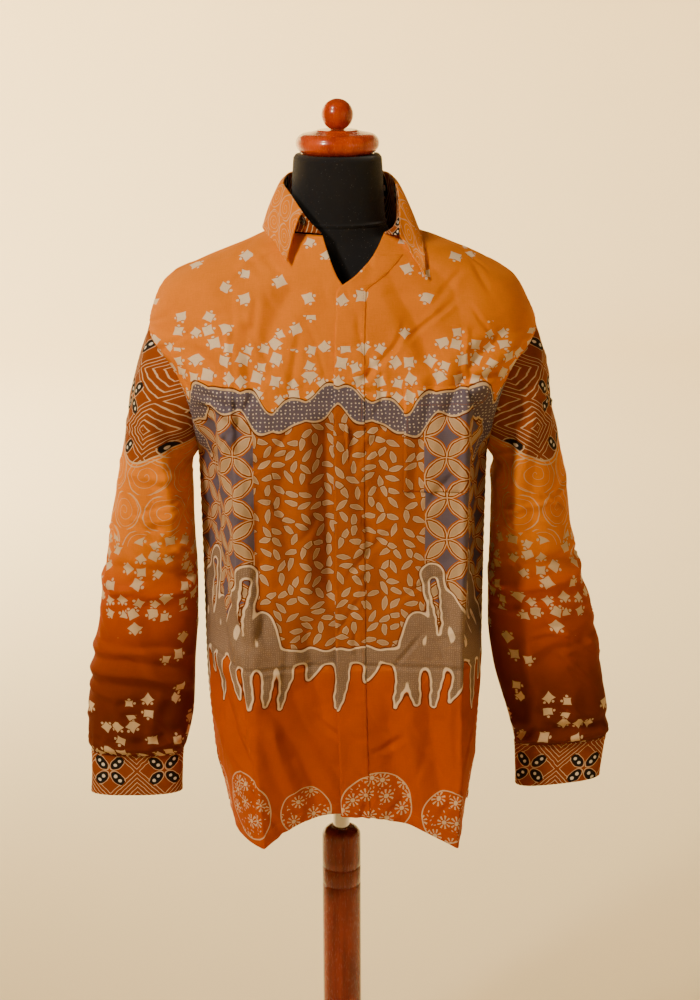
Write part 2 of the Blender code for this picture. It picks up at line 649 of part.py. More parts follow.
# ---------------------------------------------------------------- materials and build
def plain_material(name, colour, roughness, metallic=0.0):
    material = bpy.data.materials.new(name)
    material.use_nodes = True
    shader = material.node_tree.nodes["Principled BSDF"]
    shader.inputs["Base Color"].default_value = (*colour, 1.0)
    shader.inputs["Roughness"].default_value = roughness
    shader.inputs["Metallic"].default_value = metallic
    return material


def main():
    for item in list(bpy.data.objects):
        bpy.data.objects.remove(item, do_unlink=True)
    cloth = plain_material("batik_cloth", (0.60, 0.20, 0.035), 0.75)
    sleeve_cloth = plain_material("batik_sleeve", (0.50, 0.15, 0.03), 0.75)
    collar_cloth = plain_material("batik_collar", (0.66, 0.26, 0.06), 0.72)
    jersey = plain_material("black_jersey", (0.012, 0.013, 0.016), 0.85)
    wood = plain_material("turned_wood", (0.30, 0.055, 0.016), 0.22)
    chrome = plain_material("chrome", (0.78, 0.78, 0.80), 0.12, metallic=1.0)
    black = plain_material("black_button", (0.015, 0.015, 0.017), 0.30)

    add_stand(wood)
    add_height_tube(chrome)
    add_dress_form(jersey)
    add_cap_and_finial(wood)
    add_fronts(cloth)
    add_back(cloth)
    add_sleeve("sleeve_right", SLEEVE_RIGHT, -1.0, sleeve_cloth)
    add_sleeve("sleeve_left", SLEEVE_LEFT, 1.0, sleeve_cloth)
    add_cuff("cuff_right", CUFF_RIGHT, -1.0, sleeve_cloth)
    add_cuff("cuff_left", CUFF_LEFT, 1.0, sleeve_cloth)
    add_collar(collar_cloth)
    add_buttons(black)


main()
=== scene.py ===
"""A long-sleeved batik shirt on a limbless dress form and its turned wooden stand.

Metres, +Z up, the shirt's front towards -Y, the wearer's left at +X.  The cloth repeats
the frame's own ring tables at a fine pitch and presses the folds into them; the batik is
drawn by shader node groups on a UV map in metres, and its larger figures are worked out
by functions and held as distances on the cloth's points.
"""

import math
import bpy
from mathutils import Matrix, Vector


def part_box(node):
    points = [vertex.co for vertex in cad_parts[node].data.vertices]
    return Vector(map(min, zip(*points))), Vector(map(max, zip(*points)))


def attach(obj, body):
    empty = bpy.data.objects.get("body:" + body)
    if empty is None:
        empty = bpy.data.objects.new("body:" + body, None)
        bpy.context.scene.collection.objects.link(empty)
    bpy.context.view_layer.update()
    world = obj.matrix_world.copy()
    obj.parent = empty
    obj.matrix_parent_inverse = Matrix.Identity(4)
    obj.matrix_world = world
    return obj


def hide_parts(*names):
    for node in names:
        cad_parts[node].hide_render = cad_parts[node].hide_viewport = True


bl_info = {
    "name": "Batik shirt on a dress form",
    "version": (1, 0, 0),
    "blender": (4, 5, 0),
    "location": "3D View > Sidebar > Batik Shirt",
    "description": "Builds a batik shirt, its dress form and its stand",
    "category": "Object",
}

from functools import lru_cache

import bmesh
import bpy
import numpy as np
from bpy.props import FloatProperty, FloatVectorProperty, PointerProperty
from bpy.types import Operator, Panel, PropertyGroup
from mathutils import Euler, Matrix, Vector

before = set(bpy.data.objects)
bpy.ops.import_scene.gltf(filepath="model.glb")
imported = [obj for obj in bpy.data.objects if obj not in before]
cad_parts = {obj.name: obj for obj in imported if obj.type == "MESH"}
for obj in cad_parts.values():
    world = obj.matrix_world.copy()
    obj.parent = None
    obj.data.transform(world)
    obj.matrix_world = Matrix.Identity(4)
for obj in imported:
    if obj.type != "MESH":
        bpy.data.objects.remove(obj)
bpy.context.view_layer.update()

# ---------------------------------------------------------------- the frame's sizes
CLOTH = 0.0009
LAYER = 0.0018
HEM_Z = 0.692
SLIT_TOP_Z = 0.790
UNDERARM_Z = 1.185
SHOULDER_END_Z = 1.345
NECK_Z = 1.465
ARMHOLE_HALF_DEPTH = 0.062
SLIT_FRONT = (0.016, 0.052)
SLIT_BACK = (0.004, 0.030)
CREASE_SHARE = 0.484
PLACKET_WIDTH = 0.038
POCKET_LEFT, POCKET_WIDTH = 0.078, 0.108
POCKET_FOOT_Z, POCKET_MOUTH_Z = 1.158, 1.288

SHIRT_COLUMNS = ("z", "left", "right", "front", "corner", "back", "crease_left",
                 "crease_right", "rise_front", "rise_back", "roundness")
SHIRT_SECTIONS = (
    (0.692, 0.152, 0.172, 0.100, 0.130, 0.118, 0.098, 0.147, 0.034, 0.000, 0.35),
    (0.790, 0.166, 0.178, 0.108, 0.131, 0.122, 0.104, 0.152, 0.012, 0.000, 0.40),
    (0.900, 0.174, 0.183, 0.115, 0.131, 0.125, 0.108, 0.154, 0.000, 0.000, 0.45),
    (1.050, 0.176, 0.185, 0.121, 0.129, 0.127, 0.114, 0.155, 0.000, 0.000, 0.55),
    (1.185, 0.179, 0.188, 0.125, 0.127, 0.128, 0.124, 0.155, 0.000, 0.000, 0.65),
    (1.240, 0.183, 0.193, 0.126, 0.125, 0.127, 0.128, 0.155, 0.000, 0.000, 0.70),
    (1.290, 0.199, 0.209, 0.124, 0.117, 0.122, 0.131, 0.154, 0.000, 0.000, 0.78),
    (1.345, 0.236, 0.246, 0.118, 0.105, 0.112, 0.134, 0.150, 0.000, 0.000, 0.90),
    (1.380, 0.227, 0.233, 0.114, 0.096, 0.104, 0.134, 0.144, 0.000, 0.000, 1.00),
    (1.402, 0.214, 0.220, 0.110, 0.087, 0.096, 0.132, 0.136, 0.000, 0.002, 1.00),
    (1.425, 0.172, 0.186, 0.102, 0.081, 0.088, 0.106, 0.114, 0.000, 0.006, 1.00),
    (1.446, 0.120, 0.136, 0.091, 0.072, 0.078, 0.074, 0.084, 0.000, 0.012, 1.00),
    (1.465, 0.073, 0.073, 0.078, 0.061, 0.068, 0.045, 0.045, 0.000, 0.019, 1.00),
)
EDGE_COLUMNS = ("z", "left_front", "right_front")
FRONT_EDGES = (
    (0.692, 0.000, 0.014),
    (0.950, -0.006, 0.012),
    (1.200, -0.007, 0.011),
    (1.400, -0.003, 0.009),
    (1.420, 0.021, -0.002),
    (1.442, 0.042, -0.011),
    (1.465, 0.056, -0.019),
)
SLEEVE_COLUMNS = ("x_out", "z_out", "x_in", "z_in", "half_depth", "squareness")
SLEEVE_RIGHT = (
    (0.2500, 1.300, 0.1880, 1.166, 0.067, 0.95),
    (0.2625, 1.243, 0.1870, 1.140, 0.070, 0.92),
    (0.2785, 1.155, 0.1865, 1.095, 0.067, 0.90),
    (0.2890, 1.095, 0.1850, 1.055, 0.063, 0.88),
    (0.2990, 1.036, 0.1835, 1.010, 0.057, 0.86),
    (0.3090, 0.973, 0.1850, 0.958, 0.054, 0.85),
    (0.3167, 0.913, 0.1893, 0.905, 0.050, 0.84),
    (0.3258, 0.845, 0.1930, 0.838, 0.044, 0.82),
    (0.3285, 0.797, 0.2030, 0.792, 0.036, 0.80),
    (0.3272, 0.779, 0.2090, 0.777, 0.026, 0.80),
)
SLEEVE_LEFT = (
    (0.2570, 1.300, 0.1970, 1.166, 0.067, 0.95),
    (0.2645, 1.248, 0.1950, 1.140, 0.070, 0.92),
    (0.2835, 1.155, 0.1945, 1.095, 0.067, 0.90),
    (0.2920, 1.100, 0.1930, 1.055, 0.063, 0.88),
    (0.3000, 1.055, 0.1920, 1.010, 0.057, 0.86),
    (0.3235, 0.970, 0.1925, 0.955, 0.054, 0.85),
    (0.3370, 0.900, 0.2000, 0.898, 0.050, 0.84),
    (0.3450, 0.838, 0.2180, 0.835, 0.044, 0.82),
    (0.3485, 0.808, 0.2275, 0.800, 0.036, 0.80),
    (0.3475, 0.797, 0.2300, 0.787, 0.026, 0.80),
)
CUFF_RIGHT = (
    (0.3278, 0.7787, 0.2086, 0.7767, 0.0245, 0.78),
    (0.3290, 0.7200, 0.2115, 0.7210, 0.0225, 0.78),
)
CUFF_LEFT = (
    (0.3481, 0.7967, 0.2296, 0.7867, 0.0245, 0.78),
    (0.3405, 0.7400, 0.2320, 0.7270, 0.0225, 0.78),
)
COLLAR_STATIONS = (
    (-0.0200, -0.0775, 1.465, -0.0430, -0.0750, 1.4915, -0.0590, -0.0985, 1.4380),
    (-0.0500, -0.0600, 1.465, -0.0560, -0.0480, 1.5080, -0.0735, -0.0780, 1.4570),
    (-0.0720, -0.0180, 1.465, -0.0665, -0.0120, 1.5200, -0.0885, -0.0240, 1.4680),
    (-0.0650, 0.0300, 1.470, -0.0620, 0.0360, 1.5250, -0.0800, 0.0440, 1.4700),
    (-0.0380, 0.0600, 1.478, -0.0370, 0.0640, 1.5280, -0.0460, 0.0790, 1.4700),
    (0.0000, 0.0680, 1.484, 0.0000, 0.0735, 1.5290, 0.0000, 0.0880, 1.4720),
    (0.0380, 0.0600, 1.478, 0.0370, 0.0640, 1.5280, 0.0460, 0.0790, 1.4700),
    (0.0650, 0.0300, 1.470, 0.0640, 0.0360, 1.5250, 0.0820, 0.0440, 1.4720),
    (0.0725, -0.0120, 1.465, 0.0720, -0.0120, 1.5150, 0.0930, -0.0220, 1.4700),
    (0.0670, -0.0380, 1.465, 0.0750, -0.0440, 1.4920, 0.1000, -0.0600, 1.4500),
    (0.0560, -0.0600, 1.463, 0.0745, -0.0740, 1.4640, 0.1030, -0.1000, 1.4200),
)
FORM_SHOWS_ABOVE = 1.30   # the shirt covers the form below this height
FORM_COLUMNS = ("z", "half_width", "front", "back")
FORM_SECTIONS = (
    (0.740, 0.148, 0.090, 0.100),
    (0.800, 0.150, 0.094, 0.104),
    (0.900, 0.146, 0.096, 0.104),
    (1.000, 0.132, 0.094, 0.092),
    (1.080, 0.130, 0.096, 0.090),
    (1.180, 0.142, 0.104, 0.100),
    (1.260, 0.152, 0.108, 0.104),
    (1.320, 0.166, 0.102, 0.096),
    (1.360, 0.172, 0.092, 0.086),
    (1.385, 0.166, 0.084, 0.078),
    (1.405, 0.146, 0.076, 0.070),
    (1.425, 0.112, 0.068, 0.064),
    (1.442, 0.082, 0.061, 0.059),
    (1.458, 0.064, 0.057, 0.057),
    (1.480, 0.058, 0.056, 0.056),
    (1.520, 0.056, 0.055, 0.055),
    (1.5532, 0.054, 0.054, 0.054),
)

# ---------------------------------------------------------------- folds
# Soft troughs (depth < 0) and ridges (depth > 0) along a line in the front view; bend
# bows the line sideways, and half_width is how far the trough reaches.
FOLD_COLUMNS = ("piece", "x0", "z0", "x1", "z1", "bend", "half_width", "depth")
FOLDS = (
    ("front_right", -0.016, 1.240, -0.013, 1.020, 0.000, 0.016, -0.0070),
    ("front_right", -0.165, 1.260, -0.152, 0.930, 0.004, 0.016, -0.0080),
    ("front_right", -0.128, 1.220, -0.140, 1.040, 0.004, 0.010, -0.0035),
    ("front_right", -0.060, 0.900, -0.010, 0.790, 0.006, 0.018, -0.0045),
    ("front_right", -0.090, 0.880, -0.030, 0.740, -0.008, 0.012, -0.0035),
    ("front_right", -0.085, 0.850, -0.060, 0.760, 0.004, 0.008, 0.0020),
    ("front_right", -0.040, 0.980, -0.020, 0.860, 0.004, 0.012, -0.0030),
    ("front_right", -0.165, 1.255, -0.118, 1.228, -0.004, 0.007, -0.0035),
    ("front_right", -0.160, 1.275, -0.125, 1.262, 0.003, 0.006, -0.0025),
    ("front_right", -0.175, 1.330, -0.120, 1.240, -0.012, 0.012, -0.0035),
    ("front_right", -0.060, 1.400, -0.095, 1.300, 0.006, 0.014, -0.0025),
    ("front_right", -0.150, 1.060, -0.118, 0.960, 0.004, 0.010, -0.0030),
    ("front_right", -0.155, 0.900, -0.120, 0.800, 0.006, 0.012, -0.0040),
    ("front_right", -0.135, 1.400, -0.106, 0.740, 0.002, 0.0035, 0.0016),
    ("front_right", -0.180, 0.930, -0.006, 0.932, 0.001, 0.0030, -0.0010),
    ("front_right", -0.110, 1.360, -0.100, 1.240, 0.004, 0.008, -0.0022),
    ("front_right", -0.070, 1.180, -0.055, 1.060, 0.006, 0.010, -0.0022),
    ("front_right", -0.100, 1.150, -0.092, 0.960, 0.003, 0.008, -0.0022),
    ("front_left", 0.155, 1.400, 0.150, 0.760, 0.002, 0.0035, 0.0016),
    ("front_left", 0.000, 0.932, 0.182, 0.930, -0.001, 0.0030, -0.0010),
    ("front_left", 0.120, 1.300, 0.090, 1.150, 0.006, 0.010, -0.0022),
    ("front_left", 0.015, 1.230, 0.035, 1.100, 0.004, 0.010, -0.0022),
    ("front_left", 0.172, 1.270, 0.174, 0.960, -0.004, 0.015, -0.0080),
    ("front_left", 0.060, 0.860, 0.085, 0.720, 0.004, 0.018, -0.0040),
    ("front_left", 0.110, 0.900, 0.125, 0.760, 0.004, 0.014, -0.0030),
    ("front_left", 0.045, 1.180, 0.055, 1.020, 0.004, 0.016, -0.0025),
    ("front_left", 0.150, 1.296, 0.190, 1.300, 0.003, 0.006, -0.0035),
    ("front_left", 0.150, 1.288, 0.188, 1.230, -0.004, 0.007, -0.0035),
    ("front_left", 0.190, 1.335, 0.130, 1.250, 0.012, 0.012, -0.0035),
    ("front_left", 0.070, 1.400, 0.110, 1.310, -0.006, 0.014, -0.0025),
    ("front_left", 0.168, 1.060, 0.160, 0.860, 0.004, 0.010, -0.0035),
    ("back", -0.085, 1.360, -0.060, 0.800, 0.010, 0.026, -0.0070),
    ("back", 0.090, 1.350, 0.070, 0.760, -0.008, 0.026, -0.0070),
    ("back", 0.010, 1.120, 0.020, 0.740, 0.006, 0.022, -0.0050),
    ("back", -0.165, 1.260, -0.140, 0.900, 0.006, 0.014, -0.0060),
    ("back", 0.170, 1.260, 0.150, 0.920, -0.006, 0.014, -0.0060),
    ("back", -0.110, 1.100, -0.030, 1.000, 0.006, 0.012, -0.0025),
    ("back", 0.120, 1.080, 0.050, 0.960, 0.006, 0.012, -0.0025),
    ("sleeve_right", -0.300, 1.020, -0.185, 1.012, 0.008, 0.010, -0.0045),
    ("sleeve_right", -0.298, 1.042, -0.190, 1.030, -0.004, 0.007, 0.0020),
    ("sleeve_right", -0.320, 0.925, -0.190, 0.915, -0.006, 0.007, -0.0030),
    ("sleeve_right", -0.318, 0.898, -0.190, 0.876, -0.010, 0.009, -0.0060),
    ("sleeve_right", -0.322, 0.875, -0.270, 0.868, 0.004, 0.006, -0.0030),
    ("sleeve_right", -0.325, 0.792, -0.205, 0.808, 0.010, 0.007, -0.0035),
    ("sleeve_right", -0.240, 1.105, -0.195, 1.125, 0.003, 0.007, -0.0040),
    ("sleeve_right", -0.258, 1.165, -0.210, 1.165, 0.002, 0.006, -0.0025),
    ("sleeve_right", -0.235, 1.240, -0.212, 1.090, -0.006, 0.010, -0.0060),
    ("sleeve_right", -0.262, 1.000, -0.240, 0.910, 0.006, 0.010, -0.0030),
    ("sleeve_right", -0.290, 0.860, -0.270, 0.810, 0.004, 0.008, -0.0030),
    ("sleeve_right", -0.232, 0.865, -0.245, 0.805, 0.004, 0.008, -0.0030),
    ("sleeve_left", 0.305, 1.030, 0.192, 1.016, -0.008, 0.010, -0.0045),
    ("sleeve_left", 0.310, 1.050, 0.200, 1.038, 0.004, 0.007, 0.0020),
    ("sleeve_left", 0.347, 0.822, 0.226, 0.806, 0.004, 0.008, 0.0045),
    ("sleeve_left", 0.347, 0.806, 0.230, 0.790, 0.004, 0.006, -0.0035),
    ("sleeve_left", 0.240, 1.240, 0.222, 1.090, 0.006, 0.010, -0.0060),
    ("sleeve_left", 0.270, 0.990, 0.290, 0.900, -0.006, 0.011, -0.0030),
    ("sleeve_left", 0.240, 0.940, 0.260, 0.860, 0.006, 0.009, -0.0028),
    ("sleeve_left", 0.330, 0.960, 0.240, 0.920, 0.010, 0.009, -0.0025),
    ("sleeve_left", 0.300, 0.870, 0.310, 0.815, 0.004, 0.009, -0.0030),
    ("sleeve_left", 0.255, 0.860, 0.262, 0.812, 0.004, 0.008, -0.0028),
)

# ---------------------------------------------------------------- figures
# Melting limbs: groups of fingers that stand on a waved bar, each with a drip under it. A run's
# radii are at its foot, its waist and its end.
LIMB_FIRST_U = 0.118
LIMB_PITCH = 0.104
LIMBS_A_SIDE = 3
FINGER_SHARES = (0.42, 1.0, 0.68)
FINGER_HEIGHT = 0.108
FINGER_PITCH = 0.025
FINGER_LEAN = 0.009
FINGER_RADII = (0.016, 0.0095, 0.0130)
WINDOW_SPAN = (0.30, 0.92)
WINDOW_RADII = (0.0022, 0.0046, 0.0062)
DRIP_RADII = (0.0080, 0.0050, 0.0018)
DRIP_REACH = 0.062
DRIP_VARIETY = 0.30
MIDDLE_DRIPS = 5
MIDDLE_DRIP_PITCH = 0.036
BAR_V = 0.946
BAR_RISE = 0.004
BAR_WAVE = 0.120
BAR_HALF_LENGTH = 0.36
BAR_STEPS = 24
BAR_RADIUS = 0.0075
MELT_STEPS = 5
MELT_TURN = 4.4
# The cloud band: even waves about its height, lobed edges, and a tail at each side.
CLOUD_V = 1.262
CLOUD_RADIUS = 0.0125
CLOUD_WAVES = ((0.013, 0.150), (0.005, 0.0575))
CLOUD_LOBE = 0.040
CLOUD_TAIL_U = 0.225
CLOUD_TAIL_REACH = 0.070
CLOUD_TAIL_RADII = (0.017, 0.0120, 0.0060)
CLOUD_TAIL_LEAN = 0.006
# Scallops at the hem, large and small by turns, and the zone that holds the grains.
DISCS = 8
DISC_PITCH = 0.092
DISC_V = 0.742
DISC_RADIUS = 0.044
DISC_CHANGE = 0.010
GRAIN_HALF_U = 0.104
GRAIN_FOOT_V = 0.945


def smooth_row(table, key_index, key):
    """The table's row at key, on a cubic through the rows' values that doesn't overshoot."""
    rows = np.asarray(table, float)
    keys = rows[:, key_index]
    step = np.diff(keys)[:, None]
    slope = np.diff(rows, axis=0) / step
    tangent = np.zeros_like(rows)
    same_way = slope[:-1] * slope[1:] > 0
    total = np.where(same_way, slope[:-1] + slope[1:], 1.0)
    tangent[1:-1] = np.where(same_way, 2.0 * slope[:-1] * slope[1:] / total, 0.0)
    tangent[0] = slope[0]
    tangent[-1] = slope[-1]
    at = int(np.clip(np.searchsorted(keys, key) - 1, 0, len(keys) - 2))
    span = keys[at + 1] - keys[at]
    t = float(np.clip((key - keys[at]) / span, 0.0, 1.0))
    return (rows[at] * (1 + 2 * t) * (1 - t) ** 2 + tangent[at] * span * t * (1 - t) ** 2
            + rows[at + 1] * t * t * (3 - 2 * t) + tangent[at + 1] * span * t * t * (t - 1))


def section_at(columns, table, z):
    return dict(zip(columns, smooth_row(table, columns.index("z"), z)))


def station_at(table, t):
    """A table's row at t from 0 (first row) to 1 (last row), smoothly."""
    numbered = [(index, *row) for index, row in enumerate(table)]
    return smooth_row(numbered, 0, t * (len(table) - 1))[1:]


def smooth_step(low, high, value):
    t = np.clip((value - low) / (high - low), 0.0, 1.0)
    return t * t * (3.0 - 2.0 * t)


def unit(vectors):
    return vectors / np.maximum(np.linalg.norm(vectors, axis=-1, keepdims=True), 1e-12)


def soft_noise(u, v, pitch, seed):
    """Smooth noise between -1 and 1 over the plane, its lumps about pitch apart."""
    lattice = np.random.default_rng(seed).uniform(-1.0, 1.0, (64, 64))
    x, y = u / pitch + 1000.0, v / pitch + 1000.0
    column, row = np.floor(x).astype(int), np.floor(y).astype(int)
    s, t = x - column, y - row
    s, t = s * s * (3 - 2 * s), t * t * (3 - 2 * t)
    near = lattice[row % 64, column % 64] * (1 - s) + lattice[row % 64, (column + 1) % 64] * s
    far = lattice[(row + 1) % 64, column % 64] * (1 - s) + lattice[(row + 1) % 64, (column + 1) % 64] * s
    return near * (1 - t) + far * t


# ---------------------------------------------------------------- the body's surface
def ring_points(z, shares, face):
    """Points of the body's ring at z, for shares from -1 (wearer's right) to 1 (left)."""
    shares = np.asarray(shares, float)
    ring = section_at(SHIRT_COLUMNS, SHIRT_SECTIONS, z)
    left_side = shares >= 0
    share = np.abs(shares)
    crease = np.where(left_side, ring["crease_right"], ring["crease_left"])
    out = np.where(left_side, ring["right"], ring["left"])
    edge_depth = 0.0
    if UNDERARM_Z < z < SHOULDER_END_Z:
        up = (z - UNDERARM_Z) / (SHOULDER_END_Z - UNDERARM_Z)
        edge_depth = ARMHOLE_HALF_DEPTH * math.sin(math.pi * up) ** 0.75
    if z < SLIT_TOP_Z:
        inward, away = SLIT_FRONT if face == "front" else SLIT_BACK
        down = (SLIT_TOP_Z - z) / (SLIT_TOP_Z - HEM_Z)
        out = out - inward * down
        edge_depth = away * down
    middle = ring[face]
    corner = ring["corner"] if face == "front" else ring["back"] * ring["corner"] / ring["front"]
    corner = min(corner, 0.131)
    inside = share <= CREASE_SHARE
    t_in = share / CREASE_SHARE
    t_out = np.clip((share - CREASE_SHARE) / (1.0 - CREASE_SHARE), 0.0, 1.0)
    roundness = ring["roundness"]
    across = (1 - roundness) * t_out + roundness * np.sin(np.pi * t_out / 2)
    inward = (1 - roundness) * t_out + roundness * (1 - np.cos(np.pi * t_out / 2))
    x = np.where(inside, crease * t_in, crease + (out - crease) * across)
    depth = np.where(inside, middle + (corner - middle) * t_in ** 2,
                     corner + (edge_depth - corner) * inward)
    rise = ring["rise_front" if face == "front" else "rise_back"]
    lifted = z + rise * np.clip(1.0 - (x / np.maximum(crease, 0.03)) ** 2, 0.0, None)
    side = np.where(left_side, 1.0, -1.0)
    y = -depth if face == "front" else depth
    return np.stack((side * x, y, lifted), axis=-1)


def share_at_x(z, x, face="front"):
    shares = np.linspace(-1.0, 1.0, 801)
    return float(np.interp(x, ring_points(z, shares, face)[:, 0], shares))


def distances_along(points):
    steps = np.linalg.norm(np.diff(points, axis=0), axis=1)
    return np.concatenate(((0.0,), np.cumsum(steps)))


def front_edge_x(z, which):
    return section_at(EDGE_COLUMNS, FRONT_EDGES, z)[which]


# ---------------------------------------------------------------- normals, folds, wrinkles
def surface_normals(grid, closed=False):
    if closed:
        wide = np.concatenate((grid[:, -2:-1], grid, grid[:, 1:2]), axis=1)
        across = wide[:, 2:] - wide[:, :-2]
    else:
        across = np.gradient(grid, axis=1)
    return unit(np.cross(across, np.gradient(grid, axis=0)))


BODY_FOLDS = 2.0
SLEEVE_FOLDS = 1.15


def fold_push(name, grid, only_front=False):
    """How far each point moves out for this piece's listed folds."""
    push = np.zeros(grid.shape[:2])
    for row in FOLDS:
        fold = dict(zip(FOLD_COLUMNS, row))
        if fold["piece"] != name:
            continue
        start = np.array((fold["x0"], fold["z0"]))
        run = np.array((fold["x1"], fold["z1"])) - start
        length = np.linalg.norm(run)
        from_start = grid[:, :, (0, 2)] - start
        along = from_start @ run / length ** 2
        beside = (from_start[..., 0] * run[1] - from_start[..., 1] * run[0]) / length
        beside = beside - fold["bend"] * (1.0 - (2.0 * np.clip(along, 0, 1) - 1.0) ** 2)
        past_end = np.clip(np.abs(along - 0.5) - 0.42, 0, None) * length
        width = fold["half_width"]
        reach = np.exp(-(past_end / (width * 1.6)) ** 2)
        trough = np.exp(-(np.abs(beside) / width) ** 1.4)
        lips = np.exp(-((np.abs(beside) - 1.7 * width) / (0.8 * width)) ** 2)
        strength = fold["depth"] * reach * (trough - 0.32 * lips)
        if only_front:
            strength = strength * smooth_step(0.035, -0.015, grid[..., 1])
        push += strength
    return push * (SLEEVE_FOLDS if name.startswith("sleeve") else BODY_FOLDS)


def small_wrinkles(u, v, seed, strength=1.0):
    """Soft uneven dents and a few fine drag lines over the cloth."""
    lazy = 0.0018 * soft_noise(u, v * 0.5, 0.070, seed)
    lazy += 0.0011 * soft_noise(u + 0.4 * v, v * 0.6, 0.034, seed + 1)
    drag = soft_noise(u + 0.7 * v, (v - 0.7 * u) * 0.25, 0.020, seed + 2)
    drag *= smooth_step(0.1, 0.7, soft_noise(u, v, 0.110, seed + 3))
    fine = 0.00030 * soft_noise(u, v, 0.010, seed + 4)
    creased = np.abs(soft_noise(u + 0.3 * v, v - 0.3 * u, 0.030, seed + 5)) - 0.3
    return strength * (lazy + 0.0015 * drag + 0.0012 * creased + fine)


def short_creases(u, v, seed, count, lean=0.0):
    """Short crisp creases at seeded places, as in cotton that was folded and worn."""
    draw = np.random.default_rng(seed)
    push = np.zeros(u.shape)
    for _ in range(count):
        middle_u, middle_v = draw.uniform(u.min(), u.max()), draw.uniform(v.min(), v.max())
        angle = lean + draw.uniform(-0.8, 0.8)
        half_length, width = draw.uniform(0.018, 0.055), draw.uniform(0.0026, 0.0050)
        depth, bend = draw.uniform(0.0011, 0.0026), draw.uniform(-0.006, 0.006)
        along = ((u - middle_u) * math.cos(angle) + (v - middle_v) * math.sin(angle)) / half_length
        beside = (v - middle_v) * math.cos(angle) - (u - middle_u) * math.sin(angle)
        beside = np.abs(beside - bend * (1.0 - np.clip(along, -1, 1) ** 2)) / width
        fade = np.exp(-3.0 * np.clip(np.abs(along) - 0.35, 0, None) ** 2)
        push -= depth * fade * (np.exp(-beside ** 1.3) - 0.35 * np.exp(-(beside - 1.9) ** 2))
    return push


# ---------------------------------------------------------------- cloth coordinates
def body_uv(grid):
    """Distance across from the centre line and height up, both along the cloth."""
    x, y, z = grid[..., 0], grid[..., 1], grid[..., 2]
    u = np.zeros_like(x)
    for row in range(grid.shape[0]):
        reach = distances_along(grid[row])
        centre = float(np.interp(0.0, np.sort(x[row]), reach if x[row, -1] > x[row, 0] else reach[::-1]))
        signed = reach - centre
        u[row] = signed if x[row, -1] > x[row, 0] else -signed
    chest = smooth_step(1.24, 1.36, z)
    u = (1 - chest) * u + chest * (x * 1.04)
    v = z + 0.45 * smooth_step(1.30, 1.40, z) * np.clip(0.125 - np.abs(y), 0.0, 0.125)
    return u, v


def stroke_distance(u, v, strokes, blend):
    """Signed distance to round-ended tapered strokes that melt into one another."""
    total = np.full(u.shape, 0.3)
    for u0, v0, r0, u1, v1, r1 in strokes:
        run_u, run_v = u1 - u0, v1 - v0
        t = np.clip(((u - u0) * run_u + (v - v0) * run_v) / (run_u ** 2 + run_v ** 2), 0, 1)
        distance = np.hypot(u - u0 - run_u * t, v - v0 - run_v * t) - (r0 + (r1 - r0) * t)
        share = np.clip(0.5 + 0.5 * (total - distance) / blend, 0.0, 1.0)
        total = total * (1 - share) + distance * share - blend * share * (1 - share)
    return total


def melted(foot_u, foot_v, reach, radii, lean, span=(0.0, 1.0)):
    """A swaying run of tapered strokes from a foot, upwards, or hanging for a negative reach."""
    share = np.linspace(span[0], span[1], MELT_STEPS + 1)
    across = foot_u + lean * np.sin(MELT_TURN * share)
    up = foot_v + reach * share
    radius = np.interp(np.linspace(0.0, 1.0, MELT_STEPS + 1), (0.0, 0.5, 1.0), radii)
    return [(across[k], up[k], radius[k], across[k + 1], up[k + 1], radius[k + 1])
            for k in range(MELT_STEPS)]


def limb_runs():
    """The limbs with their drips, and the windows in their tallest fingers, both sides alike."""
    solid, windows = [], []
    tallest = max(FINGER_SHARES)
    for step in range(LIMBS_A_SIDE):
        for finger, share in enumerate(FINGER_SHARES):
            away = LIMB_FIRST_U + step * LIMB_PITCH + (finger - 1) * FINGER_PITCH
            reach = FINGER_HEIGHT * share
            drip = -DRIP_REACH * (1.0 + DRIP_VARIETY * math.sin(2.0 * step + 3.0 * finger))
            for hand in (-1, 1):
                lean = hand * FINGER_LEAN * (finger - 0.5)
                solid += melted(hand * away, BAR_V, reach, FINGER_RADII, lean)
                solid += melted(hand * away, BAR_V, drip, DRIP_RADII, 0.5 * lean)
                if share == tallest:
                    windows += melted(hand * away, BAR_V, reach, WINDOW_RADII, lean, WINDOW_SPAN)
    return solid, windows


def bar_and_drips():
    """The waved bar that joins the limbs, and the drips that hang from its middle."""
    across = np.linspace(-BAR_HALF_LENGTH, BAR_HALF_LENGTH, BAR_STEPS + 1)
    up = BAR_V + BAR_RISE * np.sin(across * 2 * math.pi / BAR_WAVE)
    rows = [(across[k], up[k], BAR_RADIUS, across[k + 1], up[k + 1], BAR_RADIUS)
            for k in range(BAR_STEPS)]
    for count in range(MIDDLE_DRIPS):
        step = count - (MIDDLE_DRIPS - 1) / 2
        reach = -DRIP_REACH * (0.8 + DRIP_VARIETY * math.cos(math.pi * step))
        rows += melted(step * MIDDLE_DRIP_PITCH, BAR_V, reach, DRIP_RADII, 0.004)
    return rows


def cloud_tails():
    """The tail that hangs from the cloud band at each side."""
    rows = []
    for hand in (-1, 1):
        rows += melted(hand * CLOUD_TAIL_U, CLOUD_V, -CLOUD_TAIL_REACH, CLOUD_TAIL_RADII,
                       hand * CLOUD_TAIL_LEAN)
    return rows


def disc_distance(u, v):
    """Signed distance to the scallops at the hem."""
    nearest = []
    for step in range(DISCS):
        smaller = DISC_CHANGE * (step % 2)
        across = (step - (DISCS - 1) / 2) * DISC_PITCH
        nearest.append(np.hypot(u - across, v - DISC_V + smaller) - DISC_RADIUS + smaller)
    return np.min(nearest, axis=0)


